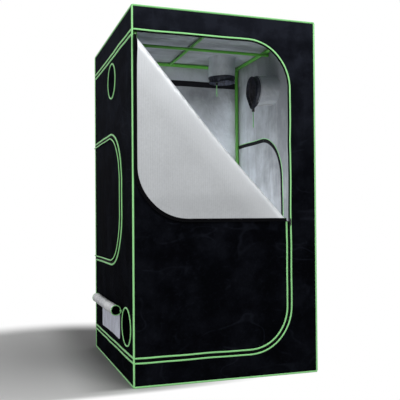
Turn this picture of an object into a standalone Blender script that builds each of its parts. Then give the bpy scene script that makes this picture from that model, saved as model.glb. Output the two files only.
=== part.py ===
"""Indoor grow tent: a steel tube frame inside a sewn cover, with zipped doors and windows,
drawstring duct ports, a rolled-up vent flap, sliding ceiling bars and a lift-out floor tray.

Metres, +Z up. The origin is at the middle of the tent's underside, the front is at -Y.
"""
import math

import bmesh
import bpy
from mathutils import Matrix, Vector
from mathutils.geometry import tessellate_polygon

# Overall size of the cover
WIDTH = 1.08
DEPTH = 1.08
HEIGHT = 2.00

# Cover: fabric, and the round piping sewn into its seams
FABRIC = 0.0015
PIPING_R = 0.004
SEAT_GAP = 0.0003
BEAD_END_GAP = 0.001

# Frame: steel tubes pushed into three-way corner sockets
TUBE_R = 0.0125
TUBE_WALL = 0.001
SOCKET_WALL = 0.0015
SOCKET_ARM = 0.055
SOCKET_DEPTH = 0.036

# Ceiling bars, thinner than the frame, and the saddles that hook them over its top bars
CROSSBAR_R = 0.0095
SADDLE_WIDTH = 0.022
CROSSBAR_FRONT_REAR_X = 0.0
CROSSBAR_LEFT_RIGHT_Y = 0.03
SADDLE_OPEN_LOW_DEG = -20.0
SADDLE_OPEN_HIGH_DEG = 200.0
HOOK_START_DEG = -90.0
HOOK_END_DEG = 160.0

# Front and rear doors: the zip line is a D whose straight side is the hinged corner
ZIP_GAP = 0.0006
BEAD_OFFSET = 0.013
DOOR_JAMB = 0.174
DOOR_HEADER = 0.143
DOOR_FREE_X = WIDTH / 2 - DOOR_JAMB
DOOR_TOP = HEIGHT - DOOR_HEADER
DOOR_BOTTOM = 0.141
DOOR_CORNER_R = 0.245

# Folded upper half of the front door. The fold starts at the hinge's head and runs down at 45
# degrees, so the folded edges hang plumb and level.
FLAP_STANDOFF = 0.009
FLAP_END_GAP = 0.012
FLAP_BILLOW = 0.016
FLAP_RIPPLE = 0.004
FLAP_COLUMNS = 30
FLAP_ROWS = 6
FLAP_WAVES = 3

# Side windows: the same D outline, hinged at the rear corners
WINDOW_BOTTOM = 0.615
LEFT_WINDOW_HEADER = 0.622
LEFT_WINDOW_TOP = HEIGHT - LEFT_WINDOW_HEADER
LEFT_WINDOW_CORNER_R = 0.30
LEFT_WINDOW_FREE_Y = -0.265
RIGHT_WINDOW_HEADER = 0.598
RIGHT_WINDOW_TOP = HEIGHT - RIGHT_WINDOW_HEADER
RIGHT_WINDOW_CORNER_R = 0.27
RIGHT_WINDOW_FREE_Y = -0.135

# Duct ports, their sleeves and gathered cuffs
PORT_RING_R = 0.103
SLEEVE_R = 0.0905
SLEEVE_FABRIC = 0.0015
SLEEVE_LENGTH = 0.165
CUFF_LENGTH = 0.032
CUFF_DRAW = 0.006
PLEAT_DEPTH = 0.0025
PLEAT_COUNT = 8
GATHER_START_SHARE = 0.25
GATHER_END_SHARE = 0.8
SLEEVE_SAG = 0.008
TEAR_DROP = 0.026
PORT_SIDES = 32
UPPER_PORT_HEADER = 0.290
LEFT_UPPER_PORT = (-0.016, HEIGHT - UPPER_PORT_HEADER)
LEFT_LOWER_PORT = (-0.374, 0.291)
RIGHT_UPPER_PORT = (-0.040, HEIGHT - UPPER_PORT_HEADER)
ROOF_PORT_FROM_RIGHT = 0.230
ROOF_PORT_FROM_REAR = 0.240
ROOF_PORT = (WIDTH / 2 - ROOF_PORT_FROM_RIGHT, DEPTH / 2 - ROOF_PORT_FROM_REAR)

# Cord locks and drawcords
CORD_R = 0.0015
STRAND_SPACING = 0.0046
LOCK_R = 0.009
LOCK_LENGTH = 0.019
LOCK_DROP = 0.004
LOCK_CLEARANCE = 0.0004
ROOF_CORD_DROP = 0.100
WALL_CORD_DROP = 0.125
LOW_CORD_DROP = 0.085
LOOP_HALF_WIDTH = 0.006
LOOP_BEND = 0.018

# Low vent on the left wall: mesh panel and the flap rolled up above it
VENT_FRONT_Y = -0.210
VENT_REAR_Y = 0.310
VENT_BOTTOM = 0.190
VENT_TOP = 0.345
VENT_CORNER_R = 0.02
ROLL_FRONT_Y = -0.255
ROLL_REAR_Y = 0.330
ROLL_R = 0.031
ROLL_PITCH = 0.0055
ROLL_TURNS = 2.25
ROLL_HEM_Z = 0.398
ROLL_STEPS = 34

# Floor tray
TRAY_HEIGHT = 0.080
TRAY_WALL = 0.0015
TRAY_CORNER_R = 0.030
TRAY_GAP = 0.004
TRAY_RIM = 0.003

# Zip sliders and the pull tab
SLIDER_WIDTH = 0.0078
SLIDER_LENGTH = 0.016
SLIDER_HEIGHT = 0.006
SLIDER_BEVEL = 0.0015
SLIDER_BRIDGE = 0.003
FRONT_SLIDER_DROP = 0.0913
SLIDER_PARK = 0.030
TAB_WIDTH = 0.008
TAB_LENGTH = 0.034
TAB_THICKNESS = 0.0018
TAB_EYE_R = 0.0022

# Facets
TUBE_SIDES = 12
ROD_SIDES = 8
ARC_STEPS = 14
BEAD_STEPS = 4
CORNER_STEPS = 5
SHARP_DEG = 40.0
CORD_STEP_DIAMETERS = 3

# Derived places
SEAM_X = WIDTH / 2 - PIPING_R
SEAM_Y = DEPTH / 2 - PIPING_R
SEAM_TOP = HEIGHT - PIPING_R
PANEL_MARGIN = PIPING_R + SEAT_GAP
HALF_FABRIC = FABRIC / 2
SOCKET_BORE_R = TUBE_R + SEAT_GAP
SOCKET_R = SOCKET_BORE_R + SOCKET_WALL
FRAME_X = SEAM_X - PANEL_MARGIN - SOCKET_R
FRAME_Y = SEAM_Y - PANEL_MARGIN - SOCKET_R
FRAME_LOW = FABRIC + SEAT_GAP + SOCKET_R
FRAME_HIGH = SEAM_TOP - HALF_FABRIC - SEAT_GAP - SOCKET_R
TUBE_END = SOCKET_ARM - SOCKET_DEPTH + SEAT_GAP

X_AXIS = Vector((1.0, 0.0, 0.0))
Y_AXIS = Vector((0.0, 1.0, 0.0))
Z_AXIS = Vector((0.0, 0.0, 1.0))


# Materials

def make_material(name, color, roughness, metallic=0.0):
    """A Principled material with one colour."""
    material = bpy.data.materials.new(name)
    material.use_nodes = True
    shader = material.node_tree.nodes["Principled BSDF"]
    shader.inputs["Base Color"].default_value = (*color, 1.0)
    shader.inputs["Roughness"].default_value = roughness
    shader.inputs["Metallic"].default_value = metallic
    material.diffuse_color = (*color, 1.0)
    return material


def make_materials():
    """All finishes of the tent, by name."""
    return {
        "canvas": make_material("black_canvas", (0.012, 0.013, 0.017), 0.75),
        "lining": make_material("silver_lining", (0.62, 0.63, 0.64), 0.35, 0.4),
        "piping": make_material("green_piping", (0.17, 0.62, 0.13), 0.5),
        "steel": make_material("green_steel", (0.07, 0.26, 0.04), 0.35, 0.2),
        "mesh": make_material("vent_mesh", (0.72, 0.73, 0.76), 0.6),
        "plastic": make_material("black_plastic", (0.015, 0.015, 0.016), 0.45),
        "tray": make_material("tray_sheet", (0.03, 0.03, 0.034), 0.5),
    }


# Planes of the tent's box

class Face:
    """A plane of the box: u runs right and v up as seen from outside, and out is the normal."""

    def __init__(self, origin, u_axis, v_axis):
        self.origin = Vector(origin)
        self.u_axis = Vector(u_axis)
        self.v_axis = Vector(v_axis)
        self.normal = self.u_axis.cross(self.v_axis)

    def at(self, u, v, out=0.0):
        """World point of a place on the plane, moved out along its normal."""
        return self.origin + self.u_axis * u + self.v_axis * v + self.normal * out


FRONT = Face((0.0, -SEAM_Y, 0.0), X_AXIS, Z_AXIS)
REAR = Face((0.0, SEAM_Y, 0.0), -X_AXIS, Z_AXIS)
LEFT = Face((-SEAM_X, 0.0, 0.0), -Y_AXIS, Z_AXIS)
RIGHT = Face((SEAM_X, 0.0, 0.0), Y_AXIS, Z_AXIS)
ROOF = Face((0.0, 0.0, SEAM_TOP), X_AXIS, Y_AXIS)
GROUND = Face((0.0, 0.0, 0.0), X_AXIS, Y_AXIS)


# Solid builders

def finish(name, bm, material, smooth=False):
    """Turn a bmesh into a named object with outward faces."""
    bmesh.ops.recalc_face_normals(bm, faces=bm.faces)
    mesh = bpy.data.meshes.new(name)
    bm.to_mesh(mesh)
    bm.free()
    mesh.materials.append(material)
    if smooth:
        mesh.shade_smooth()
        mesh.set_sharp_from_angle(angle=math.radians(SHARP_DEG))
    made = bpy.data.objects.new(name, mesh)
    bpy.context.scene.collection.objects.link(made)
    return made


def slab(name, face, outline, holes, low, high, material):
    """A flat outline with holes, extruded between two distances from the face's plane."""
    loops = [outline] + holes
    flat = [[Vector((u, v, 0.0)) for u, v in loop] for loop in loops]
    points = [point for loop in loops for point in loop]
    bm = bmesh.new()
    under = [bm.verts.new(face.at(u, v, low)) for u, v in points]
    over = [bm.verts.new(face.at(u, v, high)) for u, v in points]
    for a, b, c in tessellate_polygon(flat):
        bm.faces.new((over[a], over[b], over[c]))
        bm.faces.new((under[c], under[b], under[a]))
    start = 0
    for loop in loops:
        count = len(loop)
        for k in range(count):
            a = start + k
            b = start + (k + 1) % count
            bm.faces.new((under[a], under[b], over[b], over[a]))
        start += count
    return finish(name, bm, material)


def bridge(bm, rings, joined):
    """Quads between each ring of vertices and the next; joined ties the last to the first."""
    pairs = list(zip(rings, rings[1:]))
    if joined:
        pairs.append((rings[-1], rings[0]))
    for near, far in pairs:
        count = len(near)
        for k in range(count):
            m = (k + 1) % count
            bm.faces.new((near[k], near[m], far[m], far[k]))


def loft(name, rings, joined, material, smooth=False):
    """A solid through rings of points, closed on itself or capped at both ends."""
    bm = bmesh.new()
    made = [[bm.verts.new(point) for point in ring] for ring in rings]
    bridge(bm, made, joined)
    if not joined:
        bm.faces.new(made[0])
        bm.faces.new(made[-1])
    return finish(name, bm, material, smooth)


def ring_points(centre, axis, side, radius, count):
    """Points of a circle round an axis, starting at the side direction."""
    across = axis.cross(side)
    turn = 2 * math.pi / count
    return [centre + side * (radius * math.cos(k * turn)) + across * (radius * math.sin(k * turn))
            for k in range(count)]


def tube(name, start, end, outer_r, inner_r, sides, material):
    """A straight open tube, or a rod when the inner radius is zero."""
    start = Vector(start)
    end = Vector(end)
    axis = (end - start).normalized()
    side = axis.orthogonal().normalized()
    if abs(axis.z) < 0.5:
        side = Z_AXIS.copy()
    rings = [ring_points(start, axis, side, outer_r, sides), ring_points(end, axis, side, outer_r, sides)]
    if inner_r > 0.0:
        rings.append(ring_points(end, axis, side, inner_r, sides))
        rings.append(ring_points(start, axis, side, inner_r, sides))
    return loft(name, rings, inner_r > 0.0, material, True)


def combine(target, tools, operation):
    """Apply exact booleans to the target and remove the tools."""
    for tool in tools:
        modifier = target.modifiers.new(operation, "BOOLEAN")
        modifier.object = tool
        modifier.operation = operation
        modifier.solver = "EXACT"
    bpy.context.view_layer.update()
    graph = bpy.context.evaluated_depsgraph_get()
    result = bpy.data.meshes.new_from_object(target.evaluated_get(graph))
    target.modifiers.clear()
    old = target.data
    target.data = result
    bpy.data.meshes.remove(old)
    result.name = target.name
    for tool in tools:
        bpy.data.objects.remove(tool)
    return target


# Outlines in a face's plane

def arc(centre, radius, start, end, steps):
    """Points of an arc between two angles in degrees, both ends included."""
    angles = [math.radians(start + (end - start) * k / steps) for k in range(steps + 1)]
    return [(centre[0] + radius * math.cos(a), centre[1] + radius * math.sin(a)) for a in angles]


def rounded_rectangle(low_u, low_v, high_u, high_v, radius, steps):
    """A rectangle with rounded corners, counter-clockwise."""
    corners = [(high_u - radius, low_v + radius, -90.0), (high_u - radius, high_v - radius, 0.0),
               (low_u + radius, high_v - radius, 90.0), (low_u + radius, low_v + radius, 180.0)]
    points = []
    for u, v, start in corners:
        points.extend(arc((u, v), radius, start, start + 90.0, steps))
    return points


class Opening:
    """A D-shaped zip line: straight at the hinged seam, rounded at the two free corners."""

    def __init__(self, face, hinge_u, free_u, bottom, top, radius):
        self.face = face
        self.hinge_u = hinge_u
        self.free_u = free_u
        self.bottom = bottom
        self.top = top
        self.radius = min(radius, (top - bottom) / 2 - BEAD_OFFSET)
        self.sign = math.copysign(1.0, free_u - hinge_u)

    def curve(self, grow, end_gap=0.0):
        """The D grown by a distance, from the hinge's foot round the free side to its head."""
        radius = self.radius + grow
        centre_u = self.free_u - self.sign * self.radius
        low = arc((0.0, self.bottom + self.radius), radius, -90.0, 0.0, ARC_STEPS)
        high = arc((0.0, self.top - self.radius), radius, 0.0, 90.0, ARC_STEPS)
        hinge = self.hinge_u + self.sign * end_gap
        points = [(hinge, self.bottom - grow)]
        points += [(centre_u + self.sign * u, v) for u, v in low + high]
        points.append((hinge, self.top + grow))
        return points


def seam_margin_u(face):
    """Distance from a wall's middle to its panels' side edges."""
    half = SEAM_X if face in (FRONT, REAR) else SEAM_Y
    return half - PANEL_MARGIN


PANEL_LOW = PIPING_R + PANEL_MARGIN
PANEL_HIGH = SEAM_TOP - PANEL_MARGIN

FRONT_DOOR = Opening(FRONT, -seam_margin_u(FRONT), DOOR_FREE_X, DOOR_BOTTOM, DOOR_TOP, DOOR_CORNER_R)
REAR_DOOR = Opening(REAR, -seam_margin_u(REAR), DOOR_FREE_X, DOOR_BOTTOM, DOOR_TOP, DOOR_CORNER_R)
LEFT_WINDOW = Opening(LEFT, -seam_margin_u(LEFT), -LEFT_WINDOW_FREE_Y, WINDOW_BOTTOM, LEFT_WINDOW_TOP,
                      LEFT_WINDOW_CORNER_R)
RIGHT_WINDOW = Opening(RIGHT, seam_margin_u(RIGHT), RIGHT_WINDOW_FREE_Y, WINDOW_BOTTOM, RIGHT_WINDOW_TOP,
                       RIGHT_WINDOW_CORNER_R)


# Piping beads that stand on a panel

def path_normals(path):
    """Mitred side vectors along an open path in a plane."""
    normals = []
    count = len(path)
    for k in range(count):
        before = path[max(k - 1, 0)]
        here = path[k]
        after = path[min(k + 1, count - 1)]
        sides = []
        for start, end in ((before, here), (here, after)):
            du = end[0] - start[0]
            dv = end[1] - start[1]
            length = math.hypot(du, dv)
            if length > 0.0:
                sides.append((dv / length, -du / length))
        u = sum(side[0] for side in sides)
        v = sum(side[1] for side in sides)
        scale = len(sides) / (u * u + v * v)
        normals.append((u * scale, v * scale))
    return normals


def bead(face, path, radius, foot, outward=1.0):
    """A half-round bead along a path, its flat foot sunk to the fabric's middle."""
    section = [(radius * math.cos(math.pi * k / BEAD_STEPS), radius * math.sin(math.pi * k / BEAD_STEPS))
               for k in range(BEAD_STEPS + 1)]
    rings = []
    for (u, v), (nu, nv) in zip(path, path_normals(path)):
        rings.append([face.at(u + nu * side, v + nv * side, foot + outward * rise)
                      for side, rise in section])
    return loft("bead", rings, False, MATERIALS["piping"])


def add_beads(panel, face, paths, foot=0.0, outward=1.0):
    """Sew beads of piping to a panel."""
    beads = [bead(face, path, PIPING_R, foot, outward) for path in paths]
    return combine(panel, beads, "UNION")


# Frame

def make_corner_shape():
    """One three-way socket with its arms along +X, +Y and +Z."""
    arms = []
    bores = []
    for axis in (X_AXIS, Y_AXIS, Z_AXIS):
        arms.append(tube("arm", -axis * SOCKET_R, axis * SOCKET_ARM, SOCKET_R, 0.0, TUBE_SIDES,
                         MATERIALS["steel"]))
        start = axis * (SOCKET_ARM - SOCKET_DEPTH)
        bores.append(tube("bore", start, axis * (SOCKET_ARM + SOCKET_WALL), SOCKET_BORE_R, 0.0,
                          TUBE_SIDES, MATERIALS["steel"]))
    # Each arm runs on past the corner, so the three back ends close the elbow
    corner = arms[0]
    combine(corner, arms[1:], "UNION")
    combine(corner, bores, "DIFFERENCE")
    return corner


def corner_sockets():
    """Eight sockets, mirrored from one shape."""
    shape = make_corner_shape()
    for level, z, up in (("bottom", FRAME_LOW, 1.0), ("top", FRAME_HIGH, -1.0)):
        for end, y, back in (("front", -FRAME_Y, 1.0), ("rear", FRAME_Y, -1.0)):
            for side, x, right in (("left", -FRAME_X, 1.0), ("right", FRAME_X, -1.0)):
                mesh = shape.data.copy()
                mesh.transform(Matrix.Diagonal((right, back, up, 1.0)))
                if right * back * up < 0.0:
                    mesh.flip_normals()
                mesh.transform(Matrix.Translation((x, y, z)))
                name = "corner_{}_{}_{}".format(level, end, side)
                mesh.name = name
                made = bpy.data.objects.new(name, mesh)
                bpy.context.scene.collection.objects.link(made)
    bpy.data.objects.remove(shape)


def frame_tube(name, start, end):
    """One frame tube between two corner points, pushed into both sockets."""
    start = Vector(start)
    end = Vector(end)
    axis = (end - start).normalized()
    return tube(name, start + axis * TUBE_END, end - axis * TUBE_END, TUBE_R, TUBE_R - TUBE_WALL,
                TUBE_SIDES, MATERIALS["steel"])


def frame_tubes():
    """Four posts, four bottom bars and four top bars."""
    for end, y in (("front", -FRAME_Y), ("rear", FRAME_Y)):
        for side, x in (("left", -FRAME_X), ("right", FRAME_X)):
            frame_tube("post_{}_{}".format(end, side), (x, y, FRAME_LOW), (x, y, FRAME_HIGH))
    for level, z in (("bottom", FRAME_LOW), ("top", FRAME_HIGH)):
        for end, y in (("front", -FRAME_Y), ("rear", FRAME_Y)):
            frame_tube("bar_{}_{}".format(level, end), (-FRAME_X, y, z), (FRAME_X, y, z))
        for side, x in (("left", -FRAME_X), ("right", FRAME_X)):
            frame_tube("bar_{}_{}".format(level, side), (x, -FRAME_Y, z), (x, FRAME_Y, z))


def saddle(face, start_deg, end_deg, middle):
    """A strip bent round a top bar, as wide as SADDLE_WIDTH along it."""
    outer = arc((0.0, 0.0), SOCKET_R, start_deg, end_deg, ARC_STEPS)
    inner = arc((0.0, 0.0), SOCKET_BORE_R, end_deg, start_deg, ARC_STEPS)
    half = SADDLE_WIDTH / 2
    return slab("saddle", face, outer + inner, [], middle - half, middle + half, MATERIALS["steel"])


def crossbars():
    """Two ceiling bars that slide on the top bars, one over the other."""
    reach = FRAME_Y - (SOCKET_BORE_R + SOCKET_R) / 2
    x = CROSSBAR_FRONT_REAR_X
    upper = tube("crossbar_front_rear", (x, -reach, FRAME_HIGH), (x, reach, FRAME_HIGH), CROSSBAR_R,
                 CROSSBAR_R - TUBE_WALL, TUBE_SIDES, MATERIALS["steel"])
    saddles = []
    for back in (-1.0, 1.0):
        plane = Face((0.0, back * FRAME_Y, FRAME_HIGH), Y_AXIS, Z_AXIS)
        saddles.append(saddle(plane, SADDLE_OPEN_LOW_DEG, SADDLE_OPEN_HIGH_DEG, x))
    combine(upper, saddles, "UNION")

    y = CROSSBAR_LEFT_RIGHT_Y
    low = FRAME_HIGH - SOCKET_BORE_R - CROSSBAR_R
    end = FRAME_X + SOCKET_R
    lower = tube("crossbar_left_right", (-end, y, low), (end, y, low), CROSSBAR_R, CROSSBAR_R - TUBE_WALL,
                 TUBE_SIDES, MATERIALS["steel"])
    hooks = []
    for right in (-1.0, 1.0):
        plane = Face((right * FRAME_X, 0.0, FRAME_HIGH), X_AXIS * right, Z_AXIS)
        hooks.append(saddle(plane, HOOK_START_DEG, HOOK_END_DEG, -right * y))
    combine(lower, hooks, "UNION")


# Cover

def surround_outline(opening):
    """A wall's rectangle with the opening cut in from its hinged side."""
    side = seam_margin_u(opening.face)
    cut = opening.curve(ZIP_GAP / 2)
    if opening.sign > 0.0:
        outline = [(side, PANEL_HIGH), (-side, PANEL_HIGH)] + cut[::-1]
        return outline + [(-side, PANEL_LOW), (side, PANEL_LOW)]
    outline = [(-side, PANEL_LOW), (side, PANEL_LOW)] + cut
    return outline + [(side, PANEL_HIGH), (-side, PANEL_HIGH)]


def seam_lines(face):
    """Two pairs of straight seams across a side wall, level with the doors' zip line."""
    side = seam_margin_u(face) - BEAD_END_GAP
    levels = [middle + step for middle in (DOOR_BOTTOM, DOOR_TOP) for step in (-BEAD_OFFSET, BEAD_OFFSET)]
    return [[(-side, level), (side, level)] for level in levels]


def port_hole(u, v):
    """Round hole in a panel for a port's neck."""
    return arc((u, v), SLEEVE_R + SLEEVE_FABRIC + SEAT_GAP, 0.0, 360.0 * (1 - 1 / PORT_SIDES), PORT_SIDES - 1)


def panels():
    """Roof, floor, side walls and the surrounds of the two doors."""
    side_x = SEAM_X - PANEL_MARGIN
    side_y = SEAM_Y - PANEL_MARGIN
    flat = [(-side_x, -side_y), (side_x, -side_y), (side_x, side_y), (-side_x, side_y)]
    slab("floor_panel", GROUND, flat, [], 0.0, FABRIC, MATERIALS["canvas"])
    slab("roof_panel", ROOF, flat, [port_hole(*ROOF_PORT)], -HALF_FABRIC, HALF_FABRIC, MATERIALS["canvas"])

    for name, opening in (("front_surround", FRONT_DOOR), ("rear_surround", REAR_DOOR)):
        panel = slab(name, opening.face, surround_outline(opening), [], -HALF_FABRIC, HALF_FABRIC,
                     MATERIALS["canvas"])
        add_beads(panel, opening.face, [opening.curve(BEAD_OFFSET, BEAD_END_GAP)])

    vent = rounded_rectangle(-VENT_REAR_Y, VENT_BOTTOM, -VENT_FRONT_Y, VENT_TOP, VENT_CORNER_R, CORNER_STEPS)
    left_holes = [port_hole(-LEFT_UPPER_PORT[0], LEFT_UPPER_PORT[1]),
                  port_hole(-LEFT_LOWER_PORT[0], LEFT_LOWER_PORT[1]), vent]
    right_holes = [port_hole(*RIGHT_UPPER_PORT)]
    for name, opening, holes in (("left_wall", LEFT_WINDOW, left_holes),
                                 ("right_wall", RIGHT_WINDOW, right_holes)):
        panel = slab(name, opening.face, surround_outline(opening), holes, -HALF_FABRIC, HALF_FABRIC,
                     MATERIALS["canvas"])
        lines = seam_lines(opening.face)
        lines.append(opening.curve(BEAD_OFFSET, BEAD_END_GAP))
        add_beads(panel, opening.face, lines)


def closed_panels():
    """Rear door and side windows, each filling its own zip line."""
    for name, opening in (("rear_door", REAR_DOOR), ("left_window", LEFT_WINDOW),
                          ("right_window", RIGHT_WINDOW)):
        panel = slab(name, opening.face, opening.curve(-ZIP_GAP / 2), [], -HALF_FABRIC, HALF_FABRIC,
                     MATERIALS["canvas"])
        add_beads(panel, opening.face, [opening.curve(-BEAD_OFFSET, BEAD_END_GAP)])


def edge_piping():
    """Piping of the twelve edges: a loop at the top, a loop at the bottom and four uprights."""
    for name, z in (("piping_bottom", PIPING_R), ("piping_top", SEAM_TOP)):
        corners = [Vector((-SEAM_X, -SEAM_Y, z)), Vector((SEAM_X, -SEAM_Y, z)),
                   Vector((SEAM_X, SEAM_Y, z)), Vector((-SEAM_X, SEAM_Y, z))]
        rings = []
        for corner in corners:
            outward = Vector((math.copysign(1.0, corner.x), math.copysign(1.0, corner.y), 0.0))
            turn = 2 * math.pi / ROD_SIDES
            rings.append([corner + outward * (PIPING_R * math.cos(k * turn))
                          + Z_AXIS * (PIPING_R * math.sin(k * turn)) for k in range(ROD_SIDES)])
        loft(name, rings, True, MATERIALS["piping"])
    for end, y in (("front", -SEAM_Y), ("rear", SEAM_Y)):
        for side, x in (("left", -SEAM_X), ("right", SEAM_X)):
            tube("piping_{}_{}".format(end, side), (x, y, PANEL_LOW), (x, y, PANEL_HIGH), PIPING_R, 0.0,
                 ROD_SIDES, MATERIALS["piping"])


# Front door, zipped open down to the fold

FOLD_LOW_Z = DOOR_TOP - (DOOR_FREE_X - FRONT_DOOR.hinge_u)
FRONT_SLIDER_Z = FOLD_LOW_Z - FRONT_SLIDER_DROP
FOLD_HEAD = Vector((FRONT_DOOR.hinge_u, DOOR_TOP))
FOLD_FOOT = Vector((DOOR_FREE_X, FOLD_LOW_Z))
FOLD_ALONG = (FOLD_FOOT - FOLD_HEAD).normalized()
FOLD_UP = Vector((-FOLD_ALONG.y, FOLD_ALONG.x))
FOLD_LENGTH = (FOLD_FOOT - FOLD_HEAD).length
FOLD_BEND_R = FLAP_STANDOFF / 2
FOLD_SETBACK = FOLD_BEND_R - SEAT_GAP
FOLD_TUCK_DEG = 45.0
FOLD_BEND_STEPS = 5


def door_panel():
    """The closed lower part of the front door, cut off along the fold."""
    curve = FRONT_DOOR.curve(-ZIP_GAP / 2)
    kept = [point for point in curve if (Vector(point) - FOLD_HEAD).dot(FOLD_UP) < -FOLD_SETBACK]
    base = FOLD_HEAD - FOLD_UP * FOLD_SETBACK
    free = DOOR_FREE_X - ZIP_GAP / 2
    foot = base + FOLD_ALONG * ((free - base.x) / FOLD_ALONG.x)
    head = base + FOLD_ALONG * ((FRONT_DOOR.hinge_u - base.x) / FOLD_ALONG.x)
    outline = kept + [tuple(foot), tuple(head)]
    panel = slab("door_panel", FRONT, outline, [], -HALF_FABRIC, HALF_FABRIC, MATERIALS["canvas"])
    line = [point for point in FRONT_DOOR.curve(-BEAD_OFFSET, BEAD_END_GAP)
            if point[1] < FOLD_LOW_Z - DOOR_CORNER_R]
    line.append((DOOR_FREE_X - BEAD_OFFSET, foot.y - PIPING_R))
    add_beads(panel, FRONT, [line])


def flap_reach(along):
    """Distance from the fold to the zip line, square to the fold, above a place along it."""
    grow = -ZIP_GAP / 2
    start = FOLD_HEAD + FOLD_ALONG * along
    to_top = (DOOR_TOP + grow - start.y) / FOLD_UP.y
    to_side = (DOOR_FREE_X + grow - start.x) / FOLD_UP.x
    reach = min(to_top, to_side)
    centre = Vector((DOOR_FREE_X - DOOR_CORNER_R, DOOR_TOP - DOOR_CORNER_R))
    hit = start + FOLD_UP * reach
    if hit.x > centre.x and hit.y > centre.y:
        offset = start - centre
        middle = offset.dot(FOLD_UP)
        radius = DOOR_CORNER_R + grow
        reach = -middle + math.sqrt(middle * middle - offset.length_squared + radius * radius)
    return reach


def flap_section(along):
    """Middle line of the flap across the fold: pairs of distance up the door and distance out."""
    reach = flap_reach(along)
    # The bend curls in behind itself on one centre, so that it clears the door's edge as it turns
    bend = arc((0.0, FOLD_BEND_R), FOLD_BEND_R, -90.0 - FOLD_TUCK_DEG, 90.0, FOLD_BEND_STEPS)
    hang = []
    span_share = math.sin(math.pi * along / FOLD_LENGTH)
    for k in range(FLAP_ROWS + 1):
        share = k / FLAP_ROWS
        wave = FLAP_RIPPLE * math.sin(FLAP_WAVES * 2 * math.pi * along / FOLD_LENGTH + math.pi * share)
        lift = math.sin(math.pi * share) * span_share * (FLAP_BILLOW + wave)
        hang.append((-reach * share, FLAP_STANDOFF + lift))
    return bend[:-1] + hang


def door_flap():
    """The unzipped upper part, folded down: bent over the door's edge, hanging in a soft curve."""
    skins = ([], [])
    for k in range(FLAP_COLUMNS + 1):
        share = k / FLAP_COLUMNS
        along = FLAP_END_GAP + (FOLD_LENGTH - 2 * FLAP_END_GAP) * share
        line = flap_section(along)
        base = FOLD_HEAD + FOLD_ALONG * along
        for skin, side in zip(skins, (-HALF_FABRIC, HALF_FABRIC)):
            row = []
            for (up, out), (nu, nv) in zip(line, path_normals(line)):
                place = base + FOLD_UP * (up + nu * side)
                row.append(FRONT.at(place.x, place.y, out + nv * side))
            skin.append(row)
    # Each column is a closed ring: down one skin and back up the other
    rings = [inner + outer[::-1] for inner, outer in zip(*skins)]
    return loft("door_flap", rings, False, MATERIALS["lining"], True)


# Duct ports

def port_profile():
    """Section of a port: distance inward from the panel, radius, and share of gathering."""
    back = -HALF_FABRIC - SEAT_GAP
    outer = SLEEVE_R + SLEEVE_FABRIC
    cuff = SLEEVE_LENGTH - CUFF_LENGTH
    rim = [(back, outer, 0.0)]
    for k in range(BEAD_STEPS + 1):
        turn = math.pi * k / BEAD_STEPS
        rim.append((back - PIPING_R * math.sin(turn), PORT_RING_R + PIPING_R * math.cos(turn), 0.0))
    rim[-1] = (back - SLEEVE_FABRIC, PORT_RING_R - PIPING_R, 0.0)
    inside = [(back - SLEEVE_FABRIC, SLEEVE_R, 0.0), (cuff, SLEEVE_R, GATHER_START_SHARE),
              (cuff + CUFF_LENGTH / 2, SLEEVE_R - CUFF_DRAW, 1.0),
              (SLEEVE_LENGTH, SLEEVE_R - CUFF_DRAW / 2, GATHER_END_SHARE)]
    outside = [(SLEEVE_LENGTH, outer - CUFF_DRAW / 2, GATHER_END_SHARE),
               (cuff + CUFF_LENGTH / 2, outer - CUFF_DRAW, 1.0), (cuff, outer, GATHER_START_SHARE)]
    return rim + inside + outside


def port(name, face, place, low, axial_drop):
    """A ring on the cover, a sleeve inside it and a pleated cuff drawn in by its cord.

    low is the direction, in degrees in the face's plane, in which the cuff hangs lowest.
    """
    centre_u, centre_v = place
    turn = 2 * math.pi / PORT_SIDES
    rings = []
    for inward, radius, gather in port_profile():
        ring = []
        sag = SLEEVE_SAG * max(inward, 0.0) / SLEEVE_LENGTH
        for k in range(PORT_SIDES):
            angle = k * turn
            lean = max(math.cos(angle - math.radians(low)), 0.0)
            peak = lean ** PLEAT_COUNT
            pleat = PLEAT_DEPTH * gather * math.cos(PLEAT_COUNT * angle)
            reach = radius + pleat
            depth = inward
            drop_u = 0.0
            drop_v = 0.0
            if axial_drop:
                depth += TEAR_DROP * gather * peak
            else:
                reach += TEAR_DROP * gather * peak
                drop_u = sag * math.cos(math.radians(low))
                drop_v = sag * math.sin(math.radians(low))
            ring.append(face.at(centre_u + drop_u + reach * math.cos(angle),
                                centre_v + drop_v + reach * math.sin(angle), -depth))
        rings.append(ring)
    return loft(name, rings, True, MATERIALS["lining"], True)


def smooth_route(points, spacing):
    """Evenly spaced points on a smooth curve through the route's own points."""
    padded = [points[0] * 2 - points[1]] + points + [points[-1] * 2 - points[-2]]
    route = [points[0]]
    for k in range(1, len(padded) - 2):
        a, b, c, d = padded[k - 1:k + 3]
        steps = max(1, round((c - b).length / spacing))
        for step in range(1, steps + 1):
            t = step / steps
            route.append((b * 2 + (c - a) * t + (a * 2 - b * 5 + c * 4 - d) * (t * t)
                          + (b * 3 - a - c * 3 + d) * (t * t * t)) / 2)
    return route


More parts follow.
